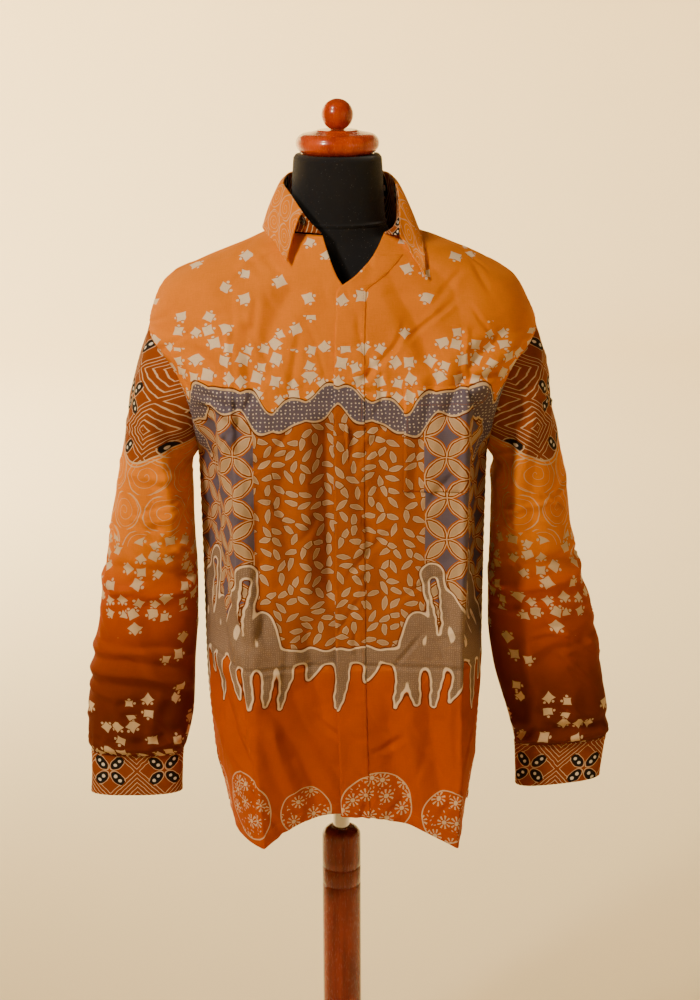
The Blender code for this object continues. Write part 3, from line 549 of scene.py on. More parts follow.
def body_figures(u, v):
    """The figures' distances at each point: cloud band, melting limbs, hem scallops, zones."""
    wobble = 0.0016 * soft_noise(u, v, 0.022, 71)
    lobes = 0.0050 * np.abs(np.sin(math.pi * u / CLOUD_LOBE)) - 0.0030
    middle, slope = CLOUD_V, 0.0
    for rise, length in CLOUD_WAVES:
        turn = u * 2 * math.pi / length
        middle = middle + rise * np.cos(turn)
        slope = slope - rise * 2 * math.pi / length * np.sin(turn)
    above = v - middle
    band = np.abs(above) / np.sqrt(1.0 + slope ** 2) - CLOUD_RADIUS
    cloud = np.minimum(band, stroke_distance(u, v, cloud_tails(), 0.010)) - lobes + wobble
    fingers, windows = limb_runs()
    limbs = stroke_distance(u, v, fingers + bar_and_drips(), 0.008)
    limbs = np.maximum(limbs, -stroke_distance(u, v, windows, 0.004)) + wobble
    scallops = disc_distance(u, v) + wobble
    grains = np.maximum(np.abs(u) - GRAIN_HALF_U, GRAIN_FOOT_V - v)
    return {"cloud": cloud, "limbs": limbs, "scallops": scallops, "above": above, "grains": grains}


# ---------------------------------------------------------------- meshes
def link(piece):
    bpy.context.scene.collection.objects.link(piece)
    return piece


def add_mesh(name, vertices, faces, material, smooth=True):
    mesh = bpy.data.meshes.new(name)
    mesh.from_pydata([tuple(vertex) for vertex in vertices], [], faces)
    mesh.materials.append(material)
    if smooth:
        mesh.shade_smooth()
    mesh.update()
    return link(bpy.data.objects.new(name, mesh))


def add_cloth(name, grid, material, uv, figures=None, thickness=CLOTH, outward=1.0, closed=False):
    """A cloth sheet over a grid of points, with its UV map in metres and its figures.

    closed: the last column lies on the first, and the two are one seam.
    """
    rows, columns = grid.shape[:2]
    corners = np.arange(rows * columns).reshape(rows, columns)
    quads = np.stack((corners[:-1, :-1], corners[:-1, 1:], corners[1:, 1:], corners[1:, :-1]), axis=-1)
    quads = quads.reshape(-1, 4)
    if outward < 0:
        quads = quads[:, ::-1]
    kept = columns - 1 if closed else columns
    vertex = np.arange(rows * kept).reshape(rows, kept)
    if closed:
        vertex = np.concatenate((vertex, vertex[:, :1]), axis=1)
    mesh = bpy.data.meshes.new(name)
    mesh.vertices.add(rows * kept)
    mesh.vertices.foreach_set("co", grid[:, :kept].reshape(-1).astype(np.float32))
    mesh.loops.add(quads.size)
    mesh.loops.foreach_set("vertex_index", vertex.reshape(-1)[quads.reshape(-1)].astype(np.int32))
    mesh.polygons.add(len(quads))
    mesh.polygons.foreach_set("loop_start", np.arange(0, quads.size, 4, dtype=np.int32))
    mesh.update(calc_edges=True)
    layer = mesh.uv_layers.new(name="Cloth")
    flat = np.stack((uv[0].reshape(-1), uv[1].reshape(-1)), axis=-1)[quads.reshape(-1)]
    layer.data.foreach_set("uv", flat.reshape(-1).astype(np.float32))
    for figure, values in (figures or {}).items():
        attribute = mesh.attributes.new(figure, "FLOAT", "POINT")
        attribute.data.foreach_set("value", values.reshape(-1).astype(np.float32))
    mesh.materials.append(material)
    mesh.shade_smooth()
    piece = link(bpy.data.objects.new(name, mesh))
    wall = piece.modifiers.new("Cloth thickness", "SOLIDIFY")
    wall.thickness = thickness
    wall.offset = -1.0
    return piece


def declare_sheet(piece):
    """Attaches the piece to the form's body."""
    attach(piece, "form")


# ---------------------------------------------------------------- shader wiring
class Wiring:
    """Short calls that place and join the nodes of one shader tree."""

    def __init__(self, tree):
        self.tree = tree

    def put(self, socket, value):
        if isinstance(value, bpy.types.NodeSocket):
            self.tree.links.new(value, socket)
        else:
            socket.default_value = value

    def node(self, kind, **settings):
        placed = self.tree.nodes.new(kind)
        for name, value in settings.items():
            setattr(placed, name, value)
        return placed

    def math(self, operation, *values, clamp=False):
        placed = self.node("ShaderNodeMath", operation=operation, use_clamp=clamp)
        for socket, value in zip(placed.inputs, values):
            self.put(socket, value)
        return placed.outputs[0]

    def vector(self, operation, *values):
        placed = self.node("ShaderNodeVectorMath", operation=operation)
        for socket, value in zip(placed.inputs, values):
            self.put(socket, value)
        return placed.outputs["Value" if operation in ("LENGTH", "DISTANCE", "DOT_PRODUCT") else "Vector"]

    def scaled(self, vector, factor):
        placed = self.node("ShaderNodeVectorMath", operation="SCALE")
        self.put(placed.inputs[0], vector)
        self.put(placed.inputs["Scale"], factor)
        return placed.outputs["Vector"]

    def mix(self, share, first, second):
        placed = self.node("ShaderNodeMix", data_type="RGBA", clamp_factor=True)
        self.put(placed.inputs[0], share)
        self.put(placed.inputs[6], first)
        self.put(placed.inputs[7], second)
        return placed.outputs[2]

    def inside(self, distance, softness=0.0006):
        """1 where distance is under 0 and 0 where it is over, soft over softness metres."""
        return self.math("SUBTRACT", 0.5, self.math("DIVIDE", distance, softness), clamp=True)

    def line(self, distance, at, half_width, softness=0.0006):
        away = self.math("ABSOLUTE", self.math("SUBTRACT", distance, at))
        return self.inside(self.math("SUBTRACT", away, half_width), softness)

    def ramp(self, value, low, high):
        placed = self.node("ShaderNodeMapRange", interpolation_type="SMOOTHSTEP")
        for name, number in (("Value", value), ("From Min", low), ("From Max", high)):
            self.put(placed.inputs[name], number)
        return placed.outputs["Result"]

    def parts(self, vector):
        placed = self.node("ShaderNodeSeparateXYZ")
        self.put(placed.inputs[0], vector)
        return placed.outputs[0], placed.outputs[1]

    def joined(self, x, y, z=0.0):
        placed = self.node("ShaderNodeCombineXYZ")
        for socket, value in zip(placed.inputs, (x, y, z)):
            self.put(socket, value)
        return placed.outputs[0]

    def turned(self, vector, angle):
        placed = self.node("ShaderNodeVectorRotate", rotation_type="Z_AXIS")
        self.put(placed.inputs["Vector"], vector)
        self.put(placed.inputs["Angle"], angle)
        return placed.outputs[0]

    def noise(self, vector, scale, detail=2.0, roughness=0.5, dimensions="3D"):
        placed = self.node("ShaderNodeTexNoise", noise_dimensions=dimensions)
        self.put(placed.inputs["Vector"], vector)
        placed.inputs["Scale"].default_value = scale
        placed.inputs["Detail"].default_value = detail
        placed.inputs["Roughness"].default_value = roughness
        return placed.outputs["Fac"]

    def cells(self, vector, cell, randomness, feature="F1"):
        """Each scattered cell's own vector from its centre, and three numbers of its own."""
        placed = self.node("ShaderNodeTexVoronoi", voronoi_dimensions="2D", feature=feature)
        self.put(placed.inputs["Vector"], vector)
        self.put(placed.inputs["Scale"], self.math("DIVIDE", 1.0, cell))
        placed.inputs["Randomness"].default_value = randomness
        local = self.vector("SUBTRACT", vector, placed.outputs["Position"])
        split = self.node("ShaderNodeSeparateColor")
        self.put(split.inputs[0], placed.outputs["Color"])
        return local, split.outputs

    def cell_border(self, vector, cell, randomness):
        """The distance to the border of the scattered cell that the point is in."""
        placed = self.node("ShaderNodeTexVoronoi", voronoi_dimensions="2D", feature="DISTANCE_TO_EDGE")
        self.put(placed.inputs["Vector"], vector)
        self.put(placed.inputs["Scale"], self.math("DIVIDE", 1.0, cell))
        placed.inputs["Randomness"].default_value = randomness
        return self.math("MULTIPLY", placed.outputs["Distance"], cell)

    def any_of(self, *masks):
        total = masks[0]
        for mask in masks[1:]:
            total = self.math("MAXIMUM", total, mask)
        return total

    def both(self, first, second):
        return self.math("MULTIPLY", first, second)

    def place(self, tree, **values):
        """A copy of a node group in this tree, with the inputs given by name."""
        placed = self.node("ShaderNodeGroup")
        placed.node_tree = tree
        for name, value in values.items():
            self.put(placed.inputs[name.replace("_", " ")], value)
        return placed.outputs


def shader_group(name, inputs, outputs):
    """A new shader node group, its wiring, its inputs by name and its output node."""
    tree = bpy.data.node_groups.new(name, "ShaderNodeTree")
    kinds = {"vector": "NodeSocketVector", "value": "NodeSocketFloat", "colour": "NodeSocketColor"}
    for label, kind, default in inputs:
        socket = tree.interface.new_socket(label, in_out="INPUT", socket_type=kinds[kind])
        if default is not None:
            socket.default_value = default
    for label, kind in outputs:
        tree.interface.new_socket(label, in_out="OUTPUT", socket_type=kinds[kind])
    wiring = Wiring(tree)
    entry = wiring.node("NodeGroupInput")
    leave = wiring.node("NodeGroupOutput")
    return tree, wiring, entry.outputs, leave.inputs


def group_once(build):
    """Builds a node group the first time it is asked for and returns the same one after."""
    def fetch():
        tree = bpy.data.node_groups.get(build.__name__)
        return tree or build(build.__name__)
    return fetch


# ---------------------------------------------------------------- batik motifs
@group_once
def concave_squares(name):
    """Scattered four-cornered pieces with drawn-in sides and a dot off two of the sides."""
    tree, w, inputs, outputs = shader_group(
        name,
        (("Place", "vector", None), ("Cell", "value", 0.0205), ("Reach", "value", 0.0095),
         ("Share", "value", 0.5)),
        (("Cream", "value"), ("Dark", "value")))
    local, own = w.cells(inputs["Place"], inputs["Cell"], 0.55)
    clear = w.cell_border(inputs["Place"], inputs["Cell"], 0.55)
    spun = w.turned(local, w.math("MULTIPLY", own[0], 6.28))
    x, y = w.parts(spun)
    across, up = w.math("ABSOLUTE", x), w.math("ABSOLUTE", y)
    reach = w.math("MULTIPLY", inputs["Reach"], w.math("MULTIPLY_ADD", own[1], 0.40, 0.80))
    powered = w.math("ADD", w.math("POWER", across, 0.82), w.math("POWER", up, 0.82))
    distance = w.math("MULTIPLY", w.math("SUBTRACT", w.math("POWER", powered, 1.0 / 0.82), reach), 0.7)
    distance = w.math("MAXIMUM", distance, w.math("SUBTRACT", 0.0010, clear))
    off_side = w.math("MULTIPLY_ADD", reach, 0.42, 0.0018)
    to_dot = w.joined(w.math("SUBTRACT", across, off_side), w.math("SUBTRACT", y, off_side))
    from_dot = w.vector("LENGTH", to_dot)
    shown = w.math("LESS_THAN", own[2], inputs["Share"])
    piece = w.both(w.inside(distance), w.math("GREATER_THAN", from_dot, 0.0026))
    dot = w.inside(w.math("SUBTRACT", from_dot, 0.0018))
    arc_line = w.both(w.line(from_dot, 0.0024, 0.0004), w.inside(w.math("SUBTRACT", distance, 0.0006)))
    w.put(outputs["Cream"], w.both(w.any_of(piece, dot), shown))
    w.put(outputs["Dark"], w.both(arc_line, shown))
    return tree


@group_once
def rice_grains(name):
    """Slender grains lying every way, each kept off its neighbours, pale with a fine rim."""
    tree, w, inputs, outputs = shader_group(
        name,
        (("Place", "vector", None), ("Cell", "value", 0.0158), ("Length", "value", 0.0098),
         ("Width", "value", 0.0034)),
        (("Fill", "value"), ("Cream", "value"), ("Dark", "value")))
    local, own = w.cells(inputs["Place"], inputs["Cell"], 0.62)
    clear = w.cell_border(inputs["Place"], inputs["Cell"], 0.62)
    spun = w.turned(local, w.math("MULTIPLY", own[0], 6.28))
    x, y = w.parts(spun)
    lean = w.math("DIVIDE", w.math("ABSOLUTE", x), inputs["Length"])
    half = w.math("MULTIPLY", inputs["Width"],
                  w.math("SUBTRACT", 1.0, w.math("POWER", w.math("MINIMUM", lean, 1.4), 1.8)))
    distance = w.math("SUBTRACT", w.math("ABSOLUTE", y), half)
    distance = w.math("MAXIMUM", distance, w.math("SUBTRACT", 0.0010, clear))
    hatch = w.math("SINE", w.math("MULTIPLY", x, 2 * math.pi / 0.0017))
    inner = w.inside(w.math("ADD", distance, 0.0006))
    w.put(outputs["Fill"], w.both(inner, w.math("MULTIPLY_ADD", hatch, 0.12, 0.88)))
    w.put(outputs["Cream"], w.line(distance, -0.0003, 0.0004))
    w.put(outputs["Dark"], w.line(distance, 0.0005, 0.0004))
    return tree


@group_once
def petal_lattice(name):
    """Crossing circles: leaves between the crossings, and drawn-in diamonds at them."""
    tree, w, inputs, outputs = shader_group(
        name,
        (("Place", "vector", None), ("Side", "value", 0.0370)),
        (("Leaf", "value"), ("Line", "value"), ("Vein", "value"), ("Second", "value")))
    slanted = w.turned(inputs["Place"], math.radians(45))
    cell = w.scaled(slanted, w.math("DIVIDE", 1.0, inputs["Side"]))
    x, y = w.parts(cell)
    nearest_x, nearest_y = w.math("ROUND", x), w.math("ROUND", y)
    fx = w.math("ABSOLUTE", w.math("SUBTRACT", x, nearest_x))
    fy = w.math("ABSOLUTE", w.math("SUBTRACT", y, nearest_y))
    one = w.vector("LENGTH", w.joined(w.math("SUBTRACT", 1.0, fx), fy))
    other = w.vector("LENGTH", w.joined(fx, w.math("SUBTRACT", 1.0, fy)))
    over = w.math("SUBTRACT", w.math("MINIMUM", one, other), 0.7071)
    distance = w.math("MULTIPLY", over, inputs["Side"])
    w.put(outputs["Leaf"], w.inside(w.math("ADD", distance, 0.0030)))
    w.put(outputs["Line"], w.any_of(w.line(distance, 0.0, 0.0005), w.line(distance, -0.0028, 0.0004)))
    w.put(outputs["Vein"], w.line(distance, -0.0014, 0.0004))
    turn = w.math("FRACT", w.math("MULTIPLY", nearest_x, 0.5))
    second = w.math("GREATER_THAN", w.math("ABSOLUTE", w.math("SUBTRACT", turn, 0.25)), 0.12)
    w.put(outputs["Second"], w.both(second, w.inside(w.math("SUBTRACT", 0.0022, distance))))
    return tree


@group_once
def nested_diamonds(name):
    """Nested diamonds, and between them black ovals in fours with white dots."""
    tree, w, inputs, outputs = shader_group(
        name,
        (("Place", "vector", None), ("Side", "value", 0.072)),
        (("Cream", "value"), ("Black", "value"), ("White", "value")))
    cell = w.scaled(inputs["Place"], w.math("DIVIDE", 1.0, inputs["Side"]))
    x, y = w.parts(cell)
    fx = w.math("ABSOLUTE", w.math("SUBTRACT", x, w.math("ROUND", x)))
    fy = w.math("ABSOLUTE", w.math("SUBTRACT", y, w.math("ROUND", y)))
    manhattan = w.math("ADD", fx, fy)
    rings = w.math("ABSOLUTE", w.math("SUBTRACT", w.math("FRACT", w.math("MULTIPLY", manhattan, 11.0)), 0.5))
    nested = w.both(w.math("LESS_THAN", manhattan, 0.60), w.ramp(rings, 0.36, 0.44))
    gx, gy = w.math("SUBTRACT", 0.5, fx), w.math("SUBTRACT", 0.5, fy)
    along = w.math("MULTIPLY", w.math("SUBTRACT", w.math("ADD", gx, gy), 0.30), 0.7071)
    aside = w.math("MULTIPLY", w.math("SUBTRACT", gx, gy), 0.7071)
    oval = w.vector("LENGTH", w.joined(w.math("DIVIDE", along, 0.150), w.math("DIVIDE", aside, 0.088)))
    outer = w.math("GREATER_THAN", manhattan, 0.50)
    pip = w.vector("LENGTH", w.joined(w.math("SUBTRACT", w.math("ABSOLUTE", along), 0.056), aside))
    black = w.both(w.ramp(oval, 1.04, 0.96), outer)
    rim = w.both(w.both(w.ramp(oval, 1.22, 1.17), outer), w.ramp(oval, 1.04, 1.10))
    w.put(outputs["Cream"], w.any_of(nested, rim))
    w.put(outputs["Black"], black)
    w.put(outputs["White"], w.both(w.ramp(pip, 0.036, 0.026), black))
    return tree


@group_once
def spirals(name):
    """Coils set in staggered rows, each of two or three turns of a thin line."""
    tree, w, inputs, outputs = shader_group(
        name,
        (("Place", "vector", None), ("Spacing", "value", 0.054), ("Pitch", "value", 0.0088)),
        (("Cream", "value"),))
    cell = w.scaled(inputs["Place"], w.math("DIVIDE", 1.0, inputs["Spacing"]))
    x, y = w.parts(cell)
    row = w.math("FLOOR", w.math("DIVIDE", y, 0.88))
    stagger = w.math("MULTIPLY", w.math("FRACT", w.math("MULTIPLY", row, 0.5)), 1.0)
    x = w.math("ADD", x, stagger)
    column = w.math("FLOOR", x)
    lx = w.math("SUBTRACT", w.math("SUBTRACT", x, column), 0.5)
    ly = w.math("SUBTRACT", w.math("SUBTRACT", y, w.math("MULTIPLY", row, 0.88)), 0.44)
    local = w.scaled(w.joined(lx, ly), inputs["Spacing"])
    reach = w.vector("LENGTH", local)
    mx, my = w.parts(local)
    half = w.math("MULTIPLY", w.math("ADD", row, column), 0.5)
    hand = w.math("MULTIPLY_ADD", w.math("FRACT", half), 4.0, -1.0)
    angle = w.math("MULTIPLY", w.math("ARCTAN2", my, mx), w.math("DIVIDE", hand, 2 * math.pi))
    turns = w.math("FRACT", w.math("ADD", w.math("DIVIDE", reach, inputs["Pitch"]), angle))
    gap = w.math("MULTIPLY", w.math("ABSOLUTE", w.math("SUBTRACT", turns, 0.5)), inputs["Pitch"])
    coil = w.both(w.inside(w.math("SUBTRACT", gap, 0.0003)),
                  w.inside(w.math("SUBTRACT", reach, w.math("MULTIPLY", inputs["Spacing"], 0.44))))
    rim = w.line(reach, w.math("MULTIPLY", inputs["Spacing"], 0.455), 0.0006)
    w.put(outputs["Cream"], w.any_of(coil, rim))
    return tree


@group_once
def starbursts(name):
    """Small suns with short rays, and loose dashes between them."""
    tree, w, inputs, outputs = shader_group(
        name,
        (("Place", "vector", None), ("Cell", "value", 0.024)),
        (("Cream", "value"),))
    local, own = w.cells(inputs["Place"], inputs["Cell"], 0.70)
    reach = w.vector("LENGTH", local)
    x, y = w.parts(local)
    around = w.math("ADD", w.math("MULTIPLY", w.math("ARCTAN2", y, x), 9.0),
                    w.math("MULTIPLY", own[0], 6.28))
    rays = w.ramp(w.math("COSINE", around), 0.10, 0.45)
    ray_reach = w.line(reach, 0.0066, 0.0026)
    sun = w.any_of(w.inside(w.math("SUBTRACT", reach, 0.0030)), w.both(rays, ray_reach))
    small, small_own = w.cells(inputs["Place"], w.math("MULTIPLY", inputs["Cell"], 0.24), 0.9)
    spun = w.turned(small, w.math("MULTIPLY", small_own[0], 6.28))
    dx, dy = w.parts(spun)
    dash = w.vector("LENGTH", w.joined(w.math("MULTIPLY", dx, 0.42), dy))
    loose = w.both(w.inside(w.math("SUBTRACT", dash, 0.0007)), w.math("LESS_THAN", small_own[1], 0.34))
    clear = w.math("GREATER_THAN", reach, 0.0108)
    w.put(outputs["Cream"], w.any_of(sun, w.both(loose, clear)))
    return tree


@group_once
def fine_dots(name):
    tree, w, inputs, outputs = shader_group(
        name,
        (("Place", "vector", None), ("Cell", "value", 0.0050), ("Radius", "value", 0.00085)),
        (("Dot", "value"),))
    local, _ = w.cells(inputs["Place"], inputs["Cell"], 0.35)
    away = w.math("SUBTRACT", w.vector("LENGTH", local), inputs["Radius"])
    w.put(outputs["Dot"], w.inside(away, 0.0005))
    return tree


@group_once
def cotton_weave(name):
    """Plain weave with uneven yarns: a height for bumps, and a tone around 1."""
    tree, w, inputs, outputs = shader_group(
        name,
        (("Place", "vector", None), ("Pitch", "value", 0.00055)),
        (("Height", "value"), ("Tone", "value")))
    turns = w.scaled(inputs["Place"], w.math("DIVIDE", 2 * math.pi, inputs["Pitch"]))
    x, y = w.parts(turns)
    yarns = w.math("MULTIPLY", w.math("SINE", x), w.math("SINE", y))
    slub_across = w.noise(w.vector("MULTIPLY", inputs["Place"], (60.0, 900.0, 1.0)), 1.0, 2.0)
    slub_up = w.noise(w.vector("MULTIPLY", inputs["Place"], (900.0, 60.0, 1.0)), 1.0, 2.0)
    slubs = w.math("ADD", slub_across, slub_up)
    w.put(outputs["Height"], w.math("MULTIPLY_ADD", slubs, 0.8, w.math("MULTIPLY", yarns, 0.35)))
    w.put(outputs["Tone"], w.math("MULTIPLY_ADD", slubs, 0.14, 0.86))
    return tree


@group_once
def dye_variation(name):
    """Uneven dye: broad cloudy patches and fine flecks, as a tone around 1."""
    tree, w, inputs, outputs = shader_group(
        name, (("Place", "vector", None),), (("Tone", "value"),))
    broad = w.noise(inputs["Place"], 9.0, 3.0, 0.6)
    flecks = w.noise(inputs["Place"], 420.0, 2.0, 0.6)
    tone = w.math("MULTIPLY_ADD", broad, 0.34, 0.83)
    w.put(outputs["Tone"], w.math("MULTIPLY", tone, w.math("MULTIPLY_ADD", flecks, 0.16, 0.92)))
    return tree


# ---------------------------------------------------------------- cloth materials
CREAM = (0.66, 0.47, 0.27, 1.0)
PALE = (0.80, 0.62, 0.42, 1.0)
WHITE = (0.78, 0.68, 0.55, 1.0)
BLACK = (0.010, 0.009, 0.010, 1.0)
DARK = (0.13, 0.022, 0.001, 1.0)
TAUPE = (0.235, 0.150, 0.100, 1.0)
BLUE_GREY = (0.125, 0.100, 0.135, 1.0)
GRAIN_GREY = (0.47, 0.31, 0.175, 1.0)
# painted shade: the dark rust that darkens the sleeves towards the cuffs
PAINTED_SHADE_RUST = (0.14, 0.020, 0.0, 1.0)
BROWN = (0.40, 0.090, 0.004, 1.0)
COCOA = (0.27, 0.055, 0.004, 1.0)


def settings():
    return bpy.context.scene.batik_shirt


def dye(name):
    return (*getattr(settings(), name), 1.0)


def new_material(name, roughness, specular=0.5, **sockets):
    material = bpy.data.materials.new(name)
    material.use_nodes = True
    shader = material.node_tree.nodes["Principled BSDF"]
    shader.inputs["Roughness"].default_value = roughness
    shader.inputs["Specular IOR Level"].default_value = specular
    for label, value in sockets.items():
        shader.inputs[label.replace("_", " ")].default_value = value
    return material, Wiring(material.node_tree), shader


def finish_cloth(w, shader, place, colour):
    """Dye variation and weave over the drawn colour, and the weave's bump."""
    weave = w.place(cotton_weave(), Place=place)
    dyed = w.place(dye_variation(), Place=place)
    tone = w.math("MULTIPLY", weave["Tone"], dyed["Tone"])
    w.put(shader.inputs["Base Color"], w.scaled(colour, tone))
    bump = w.node("ShaderNodeBump")
    bump.inputs["Strength"].default_value = 0.35
    bump.inputs["Distance"].default_value = 0.0002
    w.put(bump.inputs["Height"], weave["Height"])
    w.put(shader.inputs["Normal"], bump.outputs["Normal"])


def cloth_place(w):
    uv = w.node("ShaderNodeUVMap", uv_map="Cloth")
    return uv.outputs["UV"]


def figure(w, name):
    return w.node("ShaderNodeAttribute", attribute_type="GEOMETRY", attribute_name=name).outputs["Fac"]


def wavering(w, place, amount=0.0011, scale=120.0):
    """The place, moved a little, so that drawn lines waver as wax does."""
    noise = w.node("ShaderNodeTexNoise", noise_dimensions="3D")
    w.put(noise.inputs["Vector"], place)
    noise.inputs["Scale"].default_value = scale
    noise.inputs["Detail"].default_value = 1.0
    shift = w.scaled(w.vector("SUBTRACT", noise.outputs["Color"], (0.5, 0.5, 0.5)), amount * 2)
    return w.vector("ADD", place, shift)


def body_batik(name):
    """The fronts' and back's batik, from squares at the shoulders to suns at the hem."""
    material, w, shader = new_material(name, 0.80, 0.12)
    place = cloth_place(w)
    drawn = wavering(w, place)
    u, v = w.parts(place)
    above = figure(w, "above")
    cloud = figure(w, "cloud")
    limbs = figure(w, "limbs")
    grains_zone = w.inside(figure(w, "grains"))
    scallops = figure(w, "scallops")
    orange, rust = dye("orange"), dye("rust")

    low = w.ramp(v, 1.02, 0.90)
    colour = w.mix(low, orange, rust)
    upper = w.math("GREATER_THAN", above, 0.0)
    under = w.math("SUBTRACT", 1.0, upper)

    share = w.math("ADD", w.math("MULTIPLY", w.ramp(v, 1.40, 1.29), 0.80), 0.13)
    squares = w.place(concave_squares(), Place=drawn, Share=share)
    colour = w.mix(w.both(squares["Cream"], upper), colour, PALE)
    colour = w.mix(w.both(squares["Dark"], upper), colour, DARK)

    in_grains = w.both(grains_zone, under)
    colour = w.mix(in_grains, colour, BROWN)
    grains = w.place(rice_grains(), Place=drawn)
    colour = w.mix(w.both(grains["Dark"], in_grains), colour, DARK)
    colour = w.mix(w.both(grains["Fill"], in_grains), colour, GRAIN_GREY)
    colour = w.mix(w.both(grains["Cream"], in_grains), colour, CREAM)

    beside = w.both(w.math("SUBTRACT", 1.0, grains_zone), under)
    in_strip = w.both(beside, w.ramp(v, 0.943, 0.946))
    petals = w.place(petal_lattice(), Place=drawn)
    ground = w.mix(petals["Second"], BROWN, BLUE_GREY)
    colour = w.mix(in_strip, colour, ground)
    colour = w.mix(w.both(petals["Leaf"], in_strip), colour, GRAIN_GREY)
    colour = w.mix(w.both(petals["Vein"], in_strip), colour, DARK)
    colour = w.mix(w.both(petals["Line"], in_strip), colour, CREAM)

    in_hem = w.inside(scallops)
    suns = w.place(starbursts(), Place=drawn)
    colour = w.mix(w.both(suns["Cream"], in_hem), colour, CREAM)
    colour = w.mix(w.line(scallops, 0.0, 0.0008), colour, CREAM)

    stipple = w.place(fine_dots(), Place=drawn, Cell=0.0026, Radius=0.0005)
    fill = w.mix(w.math("MULTIPLY", stipple["Dot"], 0.45), TAUPE, CREAM)
    colour = w.mix(w.line(limbs, 0.0027, 0.0006), colour, DARK)
    colour = w.mix(w.inside(limbs), colour, fill)
    colour = w.mix(w.line(limbs, 0.0006, 0.0012), colour, PALE)

    dots = w.place(fine_dots(), Place=drawn)
    band = w.mix(dots["Dot"], BLUE_GREY, WHITE)
    colour = w.mix(w.line(cloud, 0.0026, 0.0008), colour, DARK)
    colour = w.mix(w.inside(cloud), colour, band)
    colour = w.mix(w.line(cloud, 0.0006, 0.0011), colour, CREAM)
    finish_cloth(w, shader, place, colour)
    return material


def sleeve_batik(name):
    """Nested diamonds over the shoulder, a double line, spirals, and squares to the cuff, with painted shade
    darkening the sleeve towards the cuff.
    """
    material, w, shader = new_material(name, 0.80, 0.12)
    place = cloth_place(w)
    drawn = wavering(w, place)
    u, v = w.parts(place)
    swing = w.math("COSINE", w.math("MULTIPLY", u, 2 * math.pi / 0.125))
    border = w.math("SUBTRACT", v, w.math("MULTIPLY_ADD", swing, 0.016, 1.196))
    upper = w.math("GREATER_THAN", border, 0.0)
    colour = w.mix(w.ramp(v, 1.10, 1.00), dye("orange"), dye("rust"))
    # painted shade: the sleeve darkens towards the cuff, as if in shade under the overhead light
    colour = w.mix(w.ramp(v, 1.02, 0.84), colour, PAINTED_SHADE_RUST)
    colour = w.mix(upper, colour, COCOA)

    diamonds = w.place(nested_diamonds(), Place=drawn)
    colour = w.mix(w.both(diamonds["Cream"], upper), colour, CREAM)
    colour = w.mix(w.both(diamonds["Black"], upper), colour, BLACK)
    colour = w.mix(w.both(diamonds["White"], upper), colour, WHITE)

    ragged = w.math("MULTIPLY", w.noise(place, 26.0, 1.0), 0.09)
    in_coils = w.both(w.math("SUBTRACT", 1.0, upper),
                      w.math("GREATER_THAN", w.math("ADD", v, ragged), 1.128))
    coils = w.place(spirals(), Place=drawn)
    colour = w.mix(w.both(coils["Cream"], in_coils), colour, CREAM)

    below = w.math("SUBTRACT", w.math("SUBTRACT", 1.0, upper), in_coils)
    high = w.both(w.ramp(v, 0.93, 1.05), 0.80)
    near_cuff = w.both(w.ramp(v, 0.855, 0.815), 0.55)
    share = w.math("ADD", w.math("MAXIMUM", high, near_cuff), 0.14)
    squares = w.place(concave_squares(), Place=drawn, Share=share, Cell=0.0195, Reach=0.0088)
    colour = w.mix(w.both(squares["Cream"], below), colour, CREAM)
    colour = w.mix(w.both(squares["Dark"], below), colour, DARK)
    colour = w.mix(w.line(border, 0.0, 0.0011), colour, CREAM)
    colour = w.mix(w.line(border, -0.0050, 0.0008), colour, CREAM)
    finish_cloth(w, shader, place, colour)
    return material


def cuff_batik(name):
    material, w, shader = new_material(name, 0.80, 0.12)
    place = cloth_place(w)
    drawn = wavering(w, place)
    diamonds = w.place(nested_diamonds(), Place=drawn)
    colour = w.mix(diamonds["Cream"], COCOA, CREAM)
    colour = w.mix(diamonds["Black"], colour, BLACK)
    colour = w.mix(diamonds["White"], colour, WHITE)
    finish_cloth(w, shader, place, colour)
    return material


def collar_batik(name):
    """The collar leaf: coils of thin line on orange."""
    material, w, shader = new_material(name, 0.78, 0.12)
    place = cloth_place(w)
    drawn = wavering(w, place)
    coils = w.place(spirals(), Place=drawn, Spacing=0.030, Pitch=0.0050)
    colour = w.mix(w.both(coils["Cream"], 0.7), dye("orange"), CREAM)
    finish_cloth(w, shader, place, colour)
    return material


# ---------------------------------------------------------------- other materials
@group_once
def wood_grain(name):
    """Long fibres up the Z axis with darker rings: a shade from 0 to 1, and a height."""
    tree, w, inputs, outputs = shader_group(
        name,
        (("Place", "vector", None), ("Fibre", "value", 0.004)),
        (("Shade", "value"), ("Height", "value")))
    scale = w.math("DIVIDE", 1.0, inputs["Fibre"])
    long_fibres = w.scaled(w.vector("MULTIPLY", inputs["Place"], (1.0, 1.0, 0.06)), scale)
    broad = w.scaled(w.vector("MULTIPLY", inputs["Place"], (1.0, 1.0, 0.16)), w.math("MULTIPLY", scale, 0.16))
    fibres = w.noise(long_fibres, 1.0, 4.0, 0.65)
    bands = w.noise(broad, 1.0, 2.0, 0.5)
    w.put(outputs["Shade"], w.math("MULTIPLY_ADD", fibres, 0.45, w.math("MULTIPLY", bands, 0.60)))
    w.put(outputs["Height"], fibres)
    return tree


@group_once
def rubbed_marks(name):
    """Fine scuffs and finger marks, as a value to add to a roughness."""
    tree, w, inputs, outputs = shader_group(
        name, (("Place", "vector", None), ("Amount", "value", 0.08)), (("Rough", "value"),))
    smears = w.noise(inputs["Place"], 38.0, 3.0, 0.6)
    scuffs = w.ramp(w.noise(w.vector("MULTIPLY", inputs["Place"], (900.0, 900.0, 130.0)), 1.0, 3.0),
                    0.55, 0.75)
    w.put(outputs["Rough"], w.math("MULTIPLY", inputs["Amount"], w.math("ADD", smears, scuffs)))
    return tree


def object_place(w):
    return w.node("ShaderNodeTexCoord").outputs["Object"]


